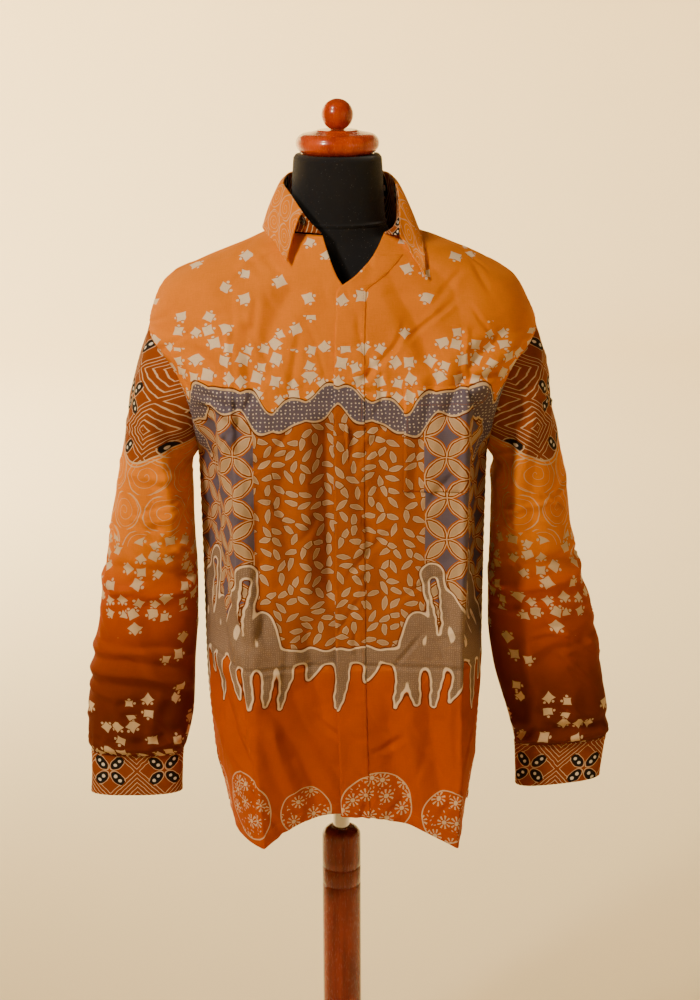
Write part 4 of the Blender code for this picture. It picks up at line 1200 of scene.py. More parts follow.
def add_bump(w, shader, height, strength, distance):
    bump = w.node("ShaderNodeBump")
    bump.inputs["Strength"].default_value = strength
    bump.inputs["Distance"].default_value = distance
    w.put(bump.inputs["Height"], height)
    w.put(shader.inputs["Normal"], bump.outputs["Normal"])


def varnished_wood(name, light, dark):
    """Turned hardwood under a thick red-brown varnish."""
    material, w, shader = new_material(name, 0.34, 0.4, Coat_Weight=0.45, Coat_Roughness=0.08)
    place = object_place(w)
    grain = w.place(wood_grain(), Place=place)
    colour = w.mix(w.ramp(grain["Shade"], 0.32, 0.72), (*dark, 1.0), (*light, 1.0))
    w.put(shader.inputs["Base Color"], colour)
    marks = w.place(rubbed_marks(), Place=place, Amount=0.10)
    w.put(shader.inputs["Roughness"], w.math("ADD", marks["Rough"], 0.20))
    add_bump(w, shader, grain["Height"], 0.10, 0.0002)
    return material


def jersey_knit(name):
    """Black jersey stretched over the form: rows of small loops, with a little lint."""
    material, w, shader = new_material(name, 0.88, 0.25, Sheen_Weight=0.35, Sheen_Roughness=0.4)
    place = object_place(w)
    x, _ = w.parts(place)
    split = w.node("ShaderNodeSeparateXYZ")
    w.put(split.inputs[0], place)
    around = w.math("MULTIPLY", w.math("ARCTAN2", split.outputs[1], x), 190.0)
    up = w.math("MULTIPLY", split.outputs[2], 2 * math.pi / 0.0011)
    bowed = w.math("ADD", up, w.math("MULTIPLY", w.math("ABSOLUTE", w.math("SINE", around)), 1.6))
    loops = w.math("MULTIPLY_ADD", w.math("SINE", bowed), 0.5, w.math("ABSOLUTE", w.math("COSINE", around)))
    shade = w.math("MULTIPLY_ADD", loops, 0.25, w.math("MULTIPLY", w.noise(place, 30.0, 3.0), 0.5))
    colour = w.mix(shade, (0.0045, 0.0044, 0.0058, 1.0), (0.0130, 0.0126, 0.0160, 1.0))
    lint = w.math("GREATER_THAN", w.noise(place, 620.0, 1.0), 0.745)
    w.put(shader.inputs["Base Color"], w.mix(lint, colour, (0.10, 0.095, 0.09, 1.0)))
    add_bump(w, shader, loops, 0.4, 0.0002)
    return material


def chromed_steel(name):
    material, w, shader = new_material(name, 0.12, 0.5, Metallic=1.0)
    place = object_place(w)
    marks = w.place(rubbed_marks(), Place=place, Amount=0.12)
    w.put(shader.inputs["Roughness"], w.math("ADD", marks["Rough"], 0.07))
    haze = w.noise(place, 60.0, 2.0)
    w.put(shader.inputs["Base Color"], w.mix(haze, (0.70, 0.70, 0.72, 1.0), (0.86, 0.86, 0.87, 1.0)))
    return material


def black_button(name):
    material, w, shader = new_material(name, 0.20, 0.5, Coat_Weight=0.4, Coat_Roughness=0.1)
    place = object_place(w)
    marks = w.place(rubbed_marks(), Place=place, Amount=0.15)
    w.put(shader.inputs["Roughness"], w.math("ADD", marks["Rough"], 0.16))
    swirl = w.noise(place, 320.0, 3.0)
    w.put(shader.inputs["Base Color"], w.mix(swirl, (0.006, 0.006, 0.007, 1.0), (0.030, 0.029, 0.030, 1.0)))
    return material


def sewing_thread(name, dark, light):
    material, w, shader = new_material(name, 0.62, 0.3)
    place = object_place(w)
    twist = w.noise(place, 1900.0, 2.0)
    w.put(shader.inputs["Base Color"], w.mix(twist, (*dark, 1.0), (*light, 1.0)))
    return material


def plain_surface(name, colour):
    """A pale matt floor with the faintest mottling."""
    material, w, shader = new_material(name, 0.85, 0.1)
    mottle = w.noise(object_place(w), 1.4, 3.0)
    deeper = tuple(channel * 0.97 for channel in colour)
    w.put(shader.inputs["Base Color"], w.mix(mottle, (*deeper, 1.0), (*colour, 1.0)))
    return material


def once(name, make, *words):
    """The material of this name, made the first time it is asked for."""
    return bpy.data.materials.get(name) or make(name, *words)


# ---------------------------------------------------------------- the shirt's surfaces
FRONT_ROWS, FRONT_COLUMNS = 290, 112
BACK_ROWS, BACK_COLUMNS = 250, 170
SLEEVE_ROWS, SLEEVE_AROUND = 210, 150
PLACKET_ROWS, PLACKET_COLUMNS = 330, 22
HEM_STITCH = 0.014
SEAM_DIP = 0.0007
PLACKET_TOP_Z = 1.457
CUFF_CLOTH = 0.0022
COLLAR_CLOTH = 0.0018
LEAF_STANDOFF = 0.0026
LEAF_OFF_FRONT = 0.0055


def even_shares(z, start, end, count, face="front"):
    """Shares from start to end whose points lie evenly along the ring at z."""
    shares = np.linspace(start, end, 260)
    reach = distances_along(ring_points(z, shares, face))
    return np.interp(np.linspace(0.0, reach[-1], count), reach, shares)


def hem_thickness(z):
    """Where the hem is turned up, the cloth is thicker, and dips at the stitch line."""
    up = z - HEM_Z
    turned = 0.0007 * smooth_step(HEM_STITCH + 0.002, HEM_STITCH - 0.002, up)
    return turned - 0.0005 * np.exp(-((up - HEM_STITCH) / 0.0016) ** 2)


def near_seam(from_seam, above_slit):
    """0 on a sewn edge and 1 away from it; free below the slit's top."""
    return np.maximum(smooth_step(0.0, 0.030, from_seam), 1.0 - above_slit)


def pressed(name, grid, push, outward=1.0, closed=False):
    normals = surface_normals(grid, closed) * outward
    moved = grid + normals * push[..., None]
    return moved, surface_normals(moved, closed) * outward


def panel_push(name, grid, uv, seed, strength=1.0):
    """Folds, wrinkles, hem and seams of a front or the back, whose last column is sewn."""
    height = np.asarray(grid[:, :, 2])
    side = np.linalg.norm(np.diff(grid, axis=1), axis=2)[:, ::-1].cumsum(axis=1)[:, ::-1]
    from_side = np.concatenate((side, np.zeros((len(grid), 1))), axis=1)
    above_slit = smooth_step(SLIT_TOP_Z - 0.02, SLIT_TOP_Z + 0.01, height)
    below_top = grid[-1:, :, 2] - height
    shoulder = smooth_step(0.0, 0.02, below_top + 0.6 * np.abs(grid[-1:, :, 0] - grid[:, :, 0]))
    free = near_seam(from_side, above_slit) * shoulder
    puckers = 0.0005 * np.sin(uv[1] * 2 * math.pi / 0.011 + 2.0 * soft_noise(uv[0], uv[1], 0.03, seed + 9))
    puckers = puckers * np.exp(-(from_side / 0.006) ** 2) * above_slit
    dip = -SEAM_DIP * np.exp(-(from_side / 0.0020) ** 2) * above_slit
    push = fold_push(name, grid) + small_wrinkles(*uv, seed, strength)
    push += short_creases(*uv, seed, 46, math.pi / 2) + short_creases(*uv, seed + 30, 16)
    hem = hem_thickness(height - (grid[0:1, :, 2] - HEM_Z))
    return push * free + puckers + dip + hem


@lru_cache(maxsize=None)
def left_front():
    """Points, outward normals and cloth coordinates, from the opening to the left side."""
    grid = np.array([ring_points(z, even_shares(z, share_at_x(z, front_edge_x(z, "left_front")), 1.0,
                                                FRONT_COLUMNS), "front")
                     for z in np.linspace(HEM_Z, NECK_Z, FRONT_ROWS)])
    uv = body_uv(grid)
    moved, normals = pressed("front_left", grid, panel_push("front_left", grid, uv, 11))
    return moved, normals, uv


@lru_cache(maxsize=None)
def right_front():
    grid = np.array([ring_points(z, even_shares(z, share_at_x(z, front_edge_x(z, "right_front")), -1.0,
                                                FRONT_COLUMNS), "front")
                     for z in np.linspace(HEM_Z, NECK_Z, FRONT_ROWS)])
    uv = body_uv(grid)
    push = panel_push("front_right", grid, uv, 23)
    tucked = LAYER * smooth_step(-0.075, -0.010, grid[..., 0])
    moved, normals = pressed("front_right", grid, push - tucked, outward=-1.0)
    return moved, normals, uv


@lru_cache(maxsize=None)
def back_panel():
    grid = np.array([ring_points(z, even_shares(z, 1.0, -1.0, BACK_COLUMNS, "back"), "back")
                     for z in np.linspace(HEM_Z, NECK_Z, BACK_ROWS)])
    uv = body_uv(grid)
    half = BACK_COLUMNS // 2
    first = panel_push("back", grid[:, :half + 1][:, ::-1], (uv[0][:, :half + 1][:, ::-1],
                                                            uv[1][:, :half + 1][:, ::-1]), 37)[:, ::-1]
    second = panel_push("back", grid[:, half:], (uv[0][:, half:], uv[1][:, half:]), 37)
    push = np.concatenate((first[:, :half], second), axis=1)
    moved, normals = pressed("back", grid, push)
    return moved, normals, uv


def on_left_front(u_range, v_range, rows, columns, raised, corner=0.0):
    """A patch over the left front's cloth between these cloth coordinates."""
    points, normals, (u, v) = left_front()
    patch, facing = np.zeros((rows, columns, 3)), np.zeros((rows, columns, 3))
    patch_u, patch_v = np.zeros((rows, columns)), np.zeros((rows, columns))
    height = v[:, 0]
    for row, up in enumerate(np.linspace(*v_range, rows)):
        at = float(np.interp(up, height, np.arange(len(height))))
        low = min(int(at), len(height) - 2)
        share = at - low
        row_u = u[low] * (1 - share) + u[low + 1] * share
        row_points = points[low] * (1 - share) + points[low + 1] * share
        row_normals = normals[low] * (1 - share) + normals[low + 1] * share
        start = row_u[0] if u_range[0] is None else u_range[0]
        across = start + np.linspace(0.0, u_range[1], columns)
        for axis in range(3):
            patch[row, :, axis] = np.interp(across, row_u, row_points[:, axis])
            facing[row, :, axis] = np.interp(across, row_u, row_normals[:, axis])
        patch_u[row], patch_v[row] = across, up
    return patch + unit(facing) * raised(patch_u, patch_v)[..., None], unit(facing), (patch_u, patch_v)


@lru_cache(maxsize=None)
def placket_strip():
    """The covered placket: a folded band over the left front's edge, flat and a little puckered."""
    def raised(u, v):
        from_edge = u - u[:, :1]
        closed = smooth_step(0.0, 0.0016, from_edge) * smooth_step(0.0, 0.0012, PLACKET_WIDTH - from_edge)
        stitch = np.exp(-((from_edge - PLACKET_WIDTH + 0.004) / 0.0012) ** 2)
        puckers = 0.00035 * np.sin(v * 2 * math.pi / 0.014) * (from_edge / PLACKET_WIDTH) ** 2
        fullness = 0.0019 - 0.0012 * from_edge / PLACKET_WIDTH
        return 0.0003 + fullness * closed - 0.0003 * stitch + puckers
    return on_left_front((None, PLACKET_WIDTH), (HEM_Z + 0.0015, PLACKET_TOP_Z),
                         PLACKET_ROWS, PLACKET_COLUMNS, raised)


@lru_cache(maxsize=None)
def pocket_patch():
    """The chest pocket: sewn down on three sides, its mouth standing a little open."""
    def raised(u, v):
        across = (u - POCKET_LEFT) / POCKET_WIDTH
        up = (v - POCKET_FOOT_Z) / (POCKET_MOUTH_Z - POCKET_FOOT_Z)
        edge = np.minimum(np.minimum(u - POCKET_LEFT, POCKET_LEFT + POCKET_WIDTH - u), v - POCKET_FOOT_Z)
        sewn = smooth_step(0.0, 0.0014, edge)
        gape = 0.0016 * np.sin(math.pi * np.clip(across, 0, 1)) * np.clip(up, 0, 1) ** 3
        mouth_hem = 0.0006 * smooth_step(POCKET_MOUTH_Z - 0.026, POCKET_MOUTH_Z - 0.022, v)
        return 0.0003 + (0.0011 + gape + mouth_hem) * sewn
    return on_left_front((POCKET_LEFT, POCKET_WIDTH), (POCKET_FOOT_Z, POCKET_MOUTH_Z), 72, 60, raised)


# ---------------------------------------------------------------- sleeves, cuffs, collar
def armhole_ring(angles, side):
    """The armhole's edge: angle 0 at the shoulder's end, pi at the underarm."""
    share = (1 + np.cos(angles)) / 2
    heights = UNDERARM_Z + (SHOULDER_END_Z - UNDERARM_Z) * share
    which = "right" if side > 0 else "left"
    out = np.array([section_at(SHIRT_COLUMNS, SHIRT_SECTIONS, z)[which] for z in heights])
    depth = ARMHOLE_HALF_DEPTH * np.clip(np.sin(math.pi * share), 0, None) ** 0.75
    return np.stack((side * out, -np.copysign(depth, np.sin(angles)), heights), axis=-1)


def tube_ring(values, angles, side):
    ring = dict(zip(SLEEVE_COLUMNS, values))
    across = np.copysign(np.abs(np.cos(angles)) ** ring["squareness"], np.cos(angles))
    around = np.copysign(np.abs(np.sin(angles)) ** ring["squareness"], np.sin(angles))
    x = (ring["x_out"] + ring["x_in"]) / 2 + (ring["x_out"] - ring["x_in"]) / 2 * across
    z = (ring["z_out"] + ring["z_in"]) / 2 + (ring["z_out"] - ring["z_in"]) / 2 * across
    return np.stack((side * x, -ring["half_depth"] * around, z), axis=-1)


def tube_uv(grid, angles):
    """Level distance round from the outer side, and height."""
    u = np.zeros(grid.shape[:2])
    middle = int(np.argmin(np.abs(angles)))
    for row in range(len(grid)):
        reach = distances_along(grid[row][:, :2])
        u[row] = reach - reach[middle]
    return u, grid[..., 2].copy()


@lru_cache(maxsize=None)
def sleeve(side):
    sections = SLEEVE_LEFT if side > 0 else SLEEVE_RIGHT
    name = "sleeve_left" if side > 0 else "sleeve_right"
    angles = np.linspace(-math.pi, math.pi, SLEEVE_AROUND)
    edge = armhole_ring(angles, side)
    edge[:, 0] -= side * 0.0010
    coarse = np.concatenate((edge[None], [tube_ring(values, angles, side) for values in sections]))
    along = np.linspace(0.0, 1.0, SLEEVE_ROWS) ** 1.05
    lengths = distances_along(coarse[:, SLEEVE_AROUND // 4])
    knots = lengths / lengths[-1]
    table = np.concatenate((knots[:, None], coarse.reshape(len(coarse), -1)), axis=1)
    grid = np.array([smooth_row(table, 0, t)[1:].reshape(-1, 3) for t in along])
    uv = tube_uv(grid, angles)
    from_ends = np.minimum(along, 1.0 - along)[:, None] * lengths[-1]
    free = smooth_step(0.0, 0.020, from_ends) * smooth_step(0.0, 0.5, math.pi - np.abs(angles))[None]
    gathers = 0.0010 * np.sin(uv[0] * 2 * math.pi / 0.017 + 3 * soft_noise(uv[0], uv[1], 0.04, 5))
    gathers = gathers * np.exp(-(((1.0 - along)[:, None] * lengths[-1]) / 0.030) ** 2)
    bag = 0.0018 * soft_noise(uv[0], uv[1] * 1.6, 0.045, 51 if side > 0 else 61)
    bag = bag * smooth_step(0.10, 0.45, along)[:, None]
    wrinkles = small_wrinkles(*uv, 53 if side > 0 else 67, 1.1)
    creases = short_creases(*uv, 57 if side > 0 else 71, 60, 0.25 * side)
    push = (fold_push(name, grid, only_front=True) + wrinkles + creases + bag + gathers) * free
    moved, normals = pressed(name, grid, push, outward=-side, closed=True)
    return moved, normals, uv


@lru_cache(maxsize=None)
def cuff(side):
    sections = CUFF_LEFT if side > 0 else CUFF_RIGHT
    angles = np.linspace(-math.pi, math.pi, 121)
    top, foot = (tube_ring(values, angles, side) for values in sections)
    grid = np.array([top * (1 - t) + foot * t for t in np.linspace(0.0, 1.0, 34)])
    uv = tube_uv(grid, angles)
    from_seam = np.linspace(0.0, 1.0, 34)[:, None] * 0.057
    edges = np.minimum(from_seam, 0.057 - from_seam)
    stitched = -0.0005 * np.exp(-((edges - 0.005) / 0.0015) ** 2)
    wave = 0.0008 * soft_noise(uv[0], uv[1], 0.030, 81) * smooth_step(0.0, 0.4, math.pi - np.abs(angles))
    rounded = -0.0007 * np.exp(-(edges / 0.0010) ** 2)
    push = CUFF_CLOTH / 2 + stitched + wave + rounded
    moved, normals = pressed("cuff", grid, push, outward=-side, closed=True)
    return moved, normals, uv


def collar_points(count):
    """The seam, fold and leaf edge lines of the collar, from its right end to its left."""
    stations = np.array([station_at(COLLAR_STATIONS, t) for t in np.linspace(0.0, 1.0, count)])
    return stations[:, 0:3], stations[:, 3:6], stations[:, 6:9]


COLLAR_COLUMNS_FINE = 190
BACK_NECKLINE_X = (0.0, 0.014, 0.028, 0.039, 0.046)
BACK_NECKLINE_Z = (1.4842, 1.4822, 1.4764, 1.4696, 1.4646)


@lru_cache(maxsize=None)
def collar_stand_band():
    seam, fold, _ = collar_points(COLLAR_COLUMNS_FINE)
    neckline = np.interp(np.abs(seam[:, 0]), BACK_NECKLINE_X, BACK_NECKLINE_Z)
    behind = smooth_step(-0.010, 0.004, seam[:, 1])
    shares = np.linspace(0.0, 1.0, 20)[:, None, None]
    grid = seam * (1 - shares) + fold * shares
    drop = behind * np.minimum(neckline - seam[:, 2], 0.0)
    grid[:, :, 2] += (0.0016 * (1.0 - behind) + drop) * (1.0 - shares[..., 0])
    normals = -surface_normals(grid)
    u = np.tile(distances_along(fold), (20, 1))
    v = np.tile(np.linspace(0.0, 0.033, 20)[:, None], (1, COLLAR_COLUMNS_FINE))
    belly = 0.0012 * np.sin(math.pi * shares[..., 0])
    return grid + normals * (COLLAR_CLOTH / 2 + belly)[..., None], normals, (u, v)


@lru_cache(maxsize=None)
def collar_leaf_sheet():
    """The leaf, rolled over the fold and lying over the fronts and the back."""
    rows = 44
    _, fold, edge = collar_points(COLLAR_COLUMNS_FINE)
    outwards = collar_stand_band()[1][-1]
    shares = (np.linspace(0.0, 1.0, rows) ** 1.3)[:, None]
    roll = np.sin(np.clip(shares / 0.10, 0.0, 1.0) * math.pi / 2)
    bulge = 0.0022 * np.sin(math.pi * shares ** 0.8)
    grid = fold * (1 - shares[..., None]) + edge * shares[..., None]
    grid = grid + outwards * ((LEAF_STANDOFF + COLLAR_CLOTH / 2) * roll + bulge)[..., None]
    grid[:, :, 2] += 0.0012 * (1.0 - roll)
    u = np.tile(distances_along(fold), (rows, 1))
    v = -shares * np.linalg.norm(edge - fold, axis=1)
    for row in range(rows):
        for column in range(COLLAR_COLUMNS_FINE):
            x, y, z = grid[row, column]
            if y < 0 and z <= NECK_Z:
                share = share_at_x(z, x)
                front = float(ring_points(z, (share,), "front")[0, 1])
                grid[row, column, 1] = min(y, front - LEAF_OFF_FRONT)
    wave = 0.0009 * soft_noise(u, v, 0.034, 91) * smooth_step(0.1, 0.5, shares)
    stitched = -0.0004 * np.exp(-((np.abs(v) - (np.abs(v[-1:]) - 0.005)) / 0.0014) ** 2)
    normals = surface_normals(grid)
    facing = np.sign(np.sum(normals * outwards, axis=-1))[..., None]
    normals = normals * facing
    return grid + normals * (wave + stitched)[..., None], normals, (u, v)


# ---------------------------------------------------------------- turned pieces
def add_turned(name, profile, material, steps, crease=50.0):
    """A closed solid of revolution about the Z axis; profile: (radius, z), top to foot."""
    points = list(profile)
    if points[0][0] > 0:
        points.insert(0, (0.0, points[0][1]))
    if points[-1][0] > 0:
        points.append((0.0, points[-1][1]))
    vertices, rings = [], []
    turn = np.linspace(0.0, 2 * math.pi, steps, endpoint=False)
    for radius, z in points:
        if radius == 0:
            rings.append([len(vertices)])
            vertices.append((0.0, 0.0, z))
        else:
            rings.append(list(range(len(vertices), len(vertices) + steps)))
            vertices.extend((radius * math.cos(angle), radius * math.sin(angle), z) for angle in turn)
    faces = []
    for upper, lower in zip(rings, rings[1:]):
        for step in range(steps):
            after = (step + 1) % steps
            if len(upper) == 1:
                faces.append((upper[0], lower[step], lower[after]))
            elif len(lower) == 1:
                faces.append((upper[after], upper[step], lower[0]))
            else:
                faces.append((upper[after], upper[step], lower[step], lower[after]))
    piece = add_mesh(name, vertices, faces, material)
    piece.data.set_sharp_from_angle(angle=math.radians(crease))
    return piece


def arc(centre_r, centre_z, radius, start, end, count):
    """Points of an arc in the (radius, z) plane; angles in degrees from +r towards +z."""
    return [(centre_r + radius * math.cos(math.radians(angle)),
             centre_z + radius * math.sin(math.radians(angle)))
            for angle in np.linspace(start, end, count)]


def fine_line(points, pitch=0.004):
    """The profile with its long straight runs cut into short ones."""
    cut = [points[0]]
    for (r0, z0), (r1, z1) in zip(points, points[1:]):
        parts = max(1, int(math.hypot(r1 - r0, z1 - z0) / pitch))
        cut.extend((r0 + (r1 - r0) * part / parts, z0 + (z1 - z0) * part / parts)
                   for part in range(1, parts + 1))
    return cut


# ---------------------------------------------------------------- stitches
def stitch_tree():
    """Geometry nodes: one short rounded stitch every pitch along each line of the mesh."""
    tree = bpy.data.node_groups.new("stitch_line", "GeometryNodeTree")
    sockets = {}
    tree.interface.new_socket("Geometry", in_out="INPUT", socket_type="NodeSocketGeometry")
    for label, default in (("Stitch Length", 0.0021), ("Gap", 0.0007), ("Thread", 0.00042)):
        socket = tree.interface.new_socket(label, in_out="INPUT", socket_type="NodeSocketFloat")
        socket.default_value = default
        sockets[label] = socket.identifier
    material = tree.interface.new_socket("Material", in_out="INPUT", socket_type="NodeSocketMaterial")
    sockets["Material"] = material.identifier
    tree.interface.new_socket("Geometry", in_out="OUTPUT", socket_type="NodeSocketGeometry")
    w = Wiring(tree)
    entry = w.node("NodeGroupInput").outputs
    leave = w.node("NodeGroupOutput").inputs
    curve = w.node("GeometryNodeMeshToCurve")
    w.put(curve.inputs["Mesh"], entry["Geometry"])
    resampled = w.node("GeometryNodeResampleCurve", mode="LENGTH")
    w.put(resampled.inputs["Curve"], curve.outputs["Curve"])
    w.put(resampled.inputs["Length"], w.math("ADD", entry["Stitch Length"], entry["Gap"]))
    bead = w.node("GeometryNodeMeshUVSphere")
    bead.inputs["Segments"].default_value = 5
    bead.inputs["Rings"].default_value = 4
    bead.inputs["Radius"].default_value = 0.5
    tangent = w.node("GeometryNodeInputTangent")
    turned = w.node("FunctionNodeAlignRotationToVector", axis="Z")
    w.put(turned.inputs["Vector"], tangent.outputs["Tangent"])
    placed = w.node("GeometryNodeInstanceOnPoints")
    w.put(placed.inputs["Points"], resampled.outputs["Curve"])
    w.put(placed.inputs["Instance"], bead.outputs["Mesh"])
    w.put(placed.inputs["Rotation"], turned.outputs["Rotation"])
    w.put(placed.inputs["Scale"], w.joined(entry["Thread"], entry["Thread"], entry["Stitch Length"]))
    real = w.node("GeometryNodeRealizeInstances")
    w.put(real.inputs["Geometry"], placed.outputs["Instances"])
    coloured = w.node("GeometryNodeSetMaterial")
    w.put(coloured.inputs["Geometry"], real.outputs["Geometry"])
    w.put(coloured.inputs["Material"], entry["Material"])
    w.put(leave["Geometry"], coloured.outputs["Geometry"])
    return tree, sockets


def add_stitches(name, lines, material):
    """A plain mesh of stitches along these lines of points."""
    vertices, edges = [], []
    for line in lines:
        first = len(vertices)
        vertices.extend(tuple(point) for point in line)
        edges.extend((first + step, first + step + 1) for step in range(len(line) - 1))
    mesh = bpy.data.meshes.new(name + "_lines")
    mesh.from_pydata(vertices, edges, [])
    guide = link(bpy.data.objects.new(name + "_lines", mesh))
    tree, sockets = stitch_tree()
    modifier = guide.modifiers.new("Stitches", "NODES")
    modifier.node_group = tree
    options = settings()
    modifier[sockets["Stitch Length"]] = options.stitch_length
    modifier[sockets["Gap"]] = options.stitch_gap
    modifier[sockets["Thread"]] = options.thread_width
    modifier[sockets["Material"]] = material
    bpy.context.view_layer.update()
    evaluated = guide.evaluated_get(bpy.context.evaluated_depsgraph_get())
    result = bpy.data.meshes.new_from_object(evaluated)
    result.name = name
    result.shade_smooth()
    guide.modifiers.clear()
    bpy.data.objects.remove(guide, do_unlink=True)
    piece = link(bpy.data.objects.new(name, result))
    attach(piece, "form")
    return piece


def lifted(points, normals, height=0.00012):
    return points + normals * height


def across_rows(surface, wanted):
    """The line over a surface at a height of its own for each column."""
    points, normals, _ = surface
    line = []
    for column in range(points.shape[1]):
        z = points[:, column, 2]
        at = float(np.interp(wanted(points[0, column]), z, np.arange(len(z))))
        low = min(int(at), len(z) - 2)
        share = at - low
        point = points[low, column] * (1 - share) + points[low + 1, column] * share
        normal = normals[low, column]
        line.append(lifted(point, normal))
    return np.array(line)


def up_columns(surface, distance, rows=slice(None), from_end=False):
    """The line up a surface this far in from its first or last column."""
    points, normals, _ = surface
    points, normals = points[rows], normals[rows]
    if from_end:
        points, normals = points[:, ::-1], normals[:, ::-1]
    line = []
    for row in range(len(points)):
        reach = distances_along(points[row, :40])
        at = float(np.interp(distance, reach, np.arange(len(reach))))
        low = min(int(at), len(reach) - 2)
        share = at - low
        point = points[row, low] * (1 - share) + points[row, low + 1] * share
        line.append(lifted(point, normals[row, low]))
    return np.array(line)


# ---------------------------------------------------------------- operators
class PieceOperator:
    """What the operators share: undo, and lines that read the same for each."""
    bl_options = {"REGISTER", "UNDO"}


class BATIK_OT_fronts(PieceOperator, Operator):
    """Build the two fronts, the covered placket and the chest pocket"""
    bl_idname = "batik.fronts"
    bl_label = "Fronts, placket and pocket"

    def execute(self, context):
        batik = once("shirt_body_dye", body_batik)
        for name, surface, outward, node, cut in (
                ("left_front_cloth", left_front(), 1.0, "front_left", (0.34, 0.80)),
                ("right_front_cloth", right_front(), -1.0, "front_right", (0.34, 0.80))):
            points, _, uv = surface
            piece = add_cloth(name, points, batik, uv, body_figures(*uv), outward=outward)
            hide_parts(node)
            declare_sheet(piece)
        for name, surface, node, cut, rests in (
                ("placket_cloth", placket_strip(), "placket", (0.040, 0.780), ("left_front_cloth",)),
                ("pocket_cloth", pocket_patch(), "chest_pocket", (0.111, 0.134), ("left_front_cloth",))):
            points, _, (u, v) = surface
            shifted = (u + 0.0012, v + 0.0018)
            piece = add_cloth(name, points, batik, shifted, body_figures(*shifted), thickness=0.0010)
            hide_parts(node)
            declare_sheet(piece)
        return {"FINISHED"}


class BATIK_OT_back(PieceOperator, Operator):
    """Build the back in one piece"""
    bl_idname = "batik.back"
    bl_label = "Back"

    def execute(self, context):
        points, _, uv = back_panel()
        piece = add_cloth("back_cloth", points, once("shirt_body_dye", body_batik), uv, body_figures(*uv))
        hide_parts("back")
        declare_sheet(piece)
        return {"FINISHED"}


class BATIK_OT_sleeves(PieceOperator, Operator):
    """Build both sleeves, each a tube with one seam under the arm"""
    bl_idname = "batik.sleeves"
    bl_label = "Sleeves"

    def execute(self, context):
        batik = once("shirt_sleeve_dye", sleeve_batik)
        for name, side, node in (("right_sleeve_cloth", -1, "sleeve_right"),
                                 ("left_sleeve_cloth", 1, "sleeve_left")):
            points, _, uv = sleeve(side)
            piece = add_cloth(name, points, batik, uv, outward=-side, closed=True)
            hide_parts(node)
            declare_sheet(piece)
        return {"FINISHED"}


class BATIK_OT_cuffs(PieceOperator, Operator):
    """Build both cuffs"""
    bl_idname = "batik.cuffs"
    bl_label = "Cuffs"

    def execute(self, context):
        batik = once("shirt_cuff_dye", cuff_batik)
        for name, side, node, rests in (("right_cuff_cloth", -1, "cuff_right", "right_sleeve_cloth"),
                                        ("left_cuff_cloth", 1, "cuff_left", "left_sleeve_cloth")):
            points, _, uv = cuff(side)
            piece = add_cloth(name, points, batik, uv, thickness=CUFF_CLOTH, outward=-side, closed=True)
            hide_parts(node)
            declare_sheet(piece)
        return {"FINISHED"}


class BATIK_OT_collar(PieceOperator, Operator):
    """Build the collar's stand and its turned-down leaf"""
    bl_idname = "batik.collar"
    bl_label = "Collar"

    def execute(self, context):
        for name, surface, material, node, cut, rests in (
                ("collar_stand_cloth", collar_stand_band(), once("shirt_cuff_dye", cuff_batik),
                 "collar_stand", (0.44, 0.052), "back_cloth"),
                ("collar_leaf_cloth", collar_leaf_sheet(), once("shirt_collar_dye", collar_batik),
                 "collar_leaf", (0.50, 0.075), "collar_stand_cloth")):
            points, normals, uv = surface
            outward = 1.0 if np.sum(surface_normals(points) * normals) > 0 else -1.0
            piece = add_cloth(name, points, material, uv, thickness=COLLAR_CLOTH, outward=outward)
            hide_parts(node)
            declare_sheet(piece)
        return {"FINISHED"}


